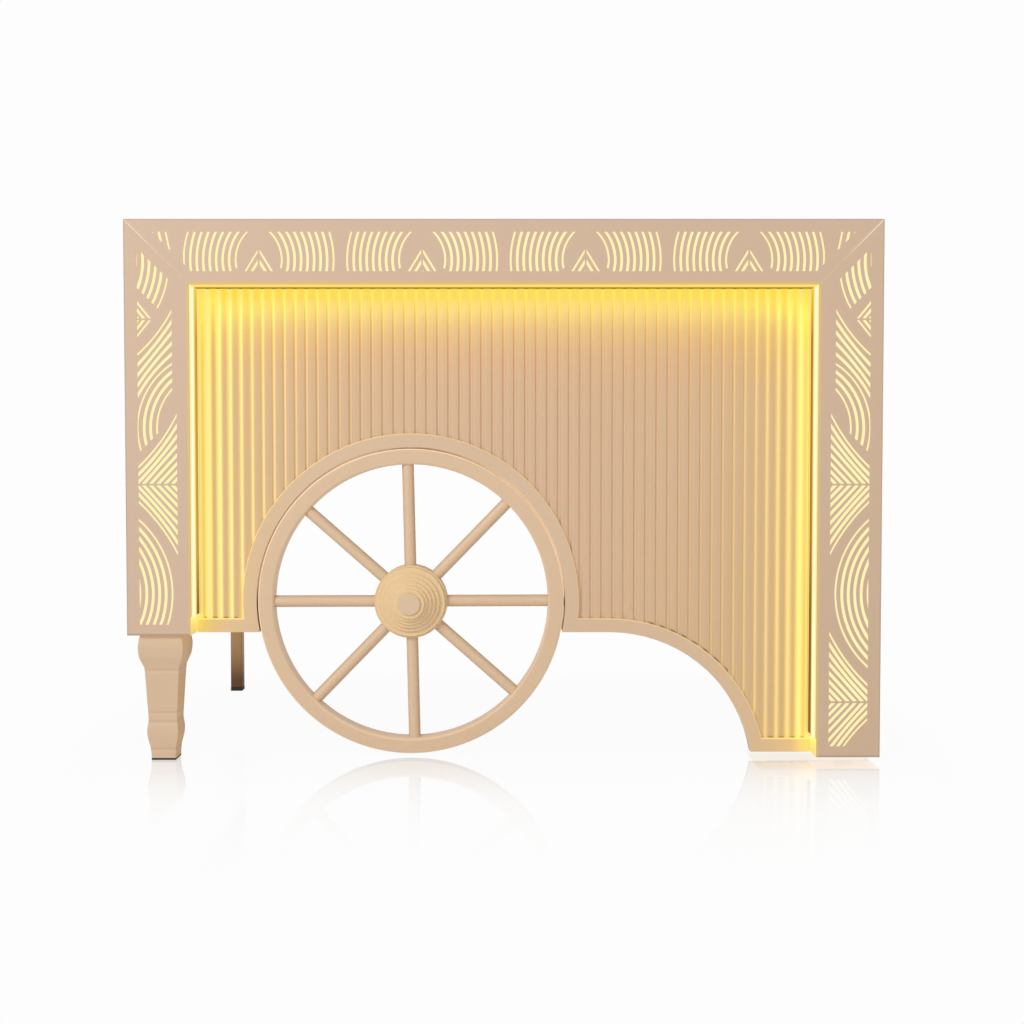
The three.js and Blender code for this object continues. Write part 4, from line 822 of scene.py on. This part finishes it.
# Painted warm light on the right-hand side.
sideways = leg_paint.facing()[0].at_least(0)
warm_light = leg_paint.mix(sideways * 0.9, leg_paint.so_far("Base Color"), tone(224, 180, 120))
line_shaded = leg_paint.mix(line_shade * 0.35, warm_light, tone(186, 154, 120))
leg_paint.shown({"Base Color": leg_paint.mix(lip * 0.35, line_shaded, tone(230, 202, 170))})
shape = whole("front_leg")
corners = []
for e in sharp(shape, 60):
    across = e.verts[0].co - e.verts[1].co
    if abs(across.z) > 0.5 * across.length:
        corners.append(e)
ease(shape, corners, LEG_CORNER)
piece("front_leg_moulded", shape, "counter", "beige_wood", leg_paint, "front_leg")

# Studio. A white floor that melts into a white surround and soft lamps in front, none of it part of the
# counter. Close to the counter the floor mirrors it faintly, takes its shadow and, under the right end,
# a little of its light; further off it is plain white.
FLOOR_HALF = 14.0
WHITE = 0.984
SKY_LEVEL = 0.50
MIRROR_REACH = 0.15
MIRROR_SHARE = 0.32
END_X = 0.5
END_MARGIN = 0.05
END_FADE = 0.03
FRONT_FADE = 0.1
REAR_LEG_X = -0.52
REAR_LEG_HALF = 0.062
SPILL_IN = 0.02
SPILL_HALF = 0.07


def in_view(wiring):
    """One for the camera and for mirrored rays, none for the light that falls on the counter."""
    return wiring.node("ShaderNodeLightPath", output="Is Camera Ray").at_least(
        wiring.node("ShaderNodeLightPath", output="Is Glossy Ray"))


floor_paint = Finish("studio_floor", {"Specular IOR Level": 0.5})
mottle = floor_paint.noise(1.3, detail=2)
floor_paint.shown({
    "Base Color": floor_paint.mix(mottle, (0.93, 0.93, 0.93, 1), (0.90, 0.90, 0.90, 1)),
    "Roughness": 0.3 + mottle * 0.04,
})
x, y = floor_paint.axes(floor_paint.place)[:2]
low, high = cad_box
beyond_x = (abs(x) - high[0]).at_least(0)
beyond_y = (abs(y) - high[1]).at_least(0)
off_counter = (beyond_x ** 2 + beyond_y ** 2) ** 0.5
behind_front = (y - low[1]).at_least(0)
seen = in_view(floor_paint)
under_end = (x > END_X) * fading((x - high[0] + END_MARGIN).at_least(0), END_FADE, 4)
by_rear_leg = fading(abs(x - REAR_LEG_X), REAR_LEG_HALF, 8)
mirror = fading(off_counter, MIRROR_REACH, 1.2) * fading(behind_front * (under_end * 4 + 1), FRONT_FADE, 4)
mirror = mirror * MIRROR_SHARE * (1 - by_rear_leg * 0.95)
spilt = fading(abs(y - low[1] - SPILL_IN), SPILL_HALF, 6) * under_end * 0.9
shaded = fading(off_counter, MIRROR_REACH, 2) * 0.04
polish = floor_paint.node("ShaderNodeBsdfGlossy", {}, {"Color": (1, 1, 1, 1), "Roughness": 0.05})
white = floor_paint.node("ShaderNodeEmission", {}, {
    "Color": floor_paint.mix(spilt, (WHITE, WHITE, WHITE, 1), (0.93, 0.86, 0.76, 1)),
    "Strength": 1.0,
})
lit = floor_paint.node("ShaderNodeMixShader", {}, {
    "Fac": seen * (1 - shaded),
    1: Wire(floor_paint, floor_paint.shader.outputs[0]),
    2: white,
})
floor_paint.end(floor_paint.node("ShaderNodeMixShader", {}, {"Fac": seen * mirror, 1: lit, 2: polish}))
shape = bmesh.new()
bmesh.ops.create_grid(shape, x_segments=1, y_segments=1, size=FLOOR_HALF)
mesh = bpy.data.meshes.new("studio_floor")
shape.to_mesh(mesh)
shape.free()
mesh.materials.append(floor_paint.material)
floor = bpy.data.objects.new("studio_floor", mesh)
bpy.context.scene.collection.objects.link(floor)
floor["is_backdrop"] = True

world = bpy.data.worlds.new("studio")
bpy.context.scene.world = world
world.use_nodes = True
sky = Wiring(world.node_tree)
sky.end(sky.node("ShaderNodeBackground", {}, {
    "Color": (1, 1, 1, 1),
    "Strength": in_view(sky) * (WHITE - SKY_LEVEL) + SKY_LEVEL,
}))

for name, place, size, power in (
    ("key_lamp", (-4.6, -6.2, 4.6), 3.4, 300),
    ("fill_lamp", (3.2, -4.6, 2.0), 2.6, 26),
):
    lamp = bpy.data.lights.new(name, "AREA")
    lamp.size = size
    lamp.energy = power
    holder = bpy.data.objects.new(name, lamp)
    holder.location = place
    holder.rotation_euler = (Vector((0, 0, 0.5)) - Vector(place)).to_track_quat("-Z", "Y").to_euler()
    bpy.context.scene.collection.objects.link(holder)

# Camera. It stands 3 m in front of the counter's middle, a little over half its height, and looks very
# slightly down.
camera = bpy.data.cameras.new("camera")
camera.lens = 45.70
camera.sensor_width = 36
camera.shift_y = -0.020
viewer = bpy.data.objects.new("camera", camera)
viewer.location = (0.016, -2.976, 0.631)
viewer.rotation_euler = (math.radians(88.04), 0, 0)
bpy.context.scene.collection.objects.link(viewer)
bpy.context.scene.camera = viewer
bpy.context.scene.view_settings.view_transform = "Standard"

size = {"cad": [list(corner) for corner in cad_box], "visual": [list(corner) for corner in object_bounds()]}
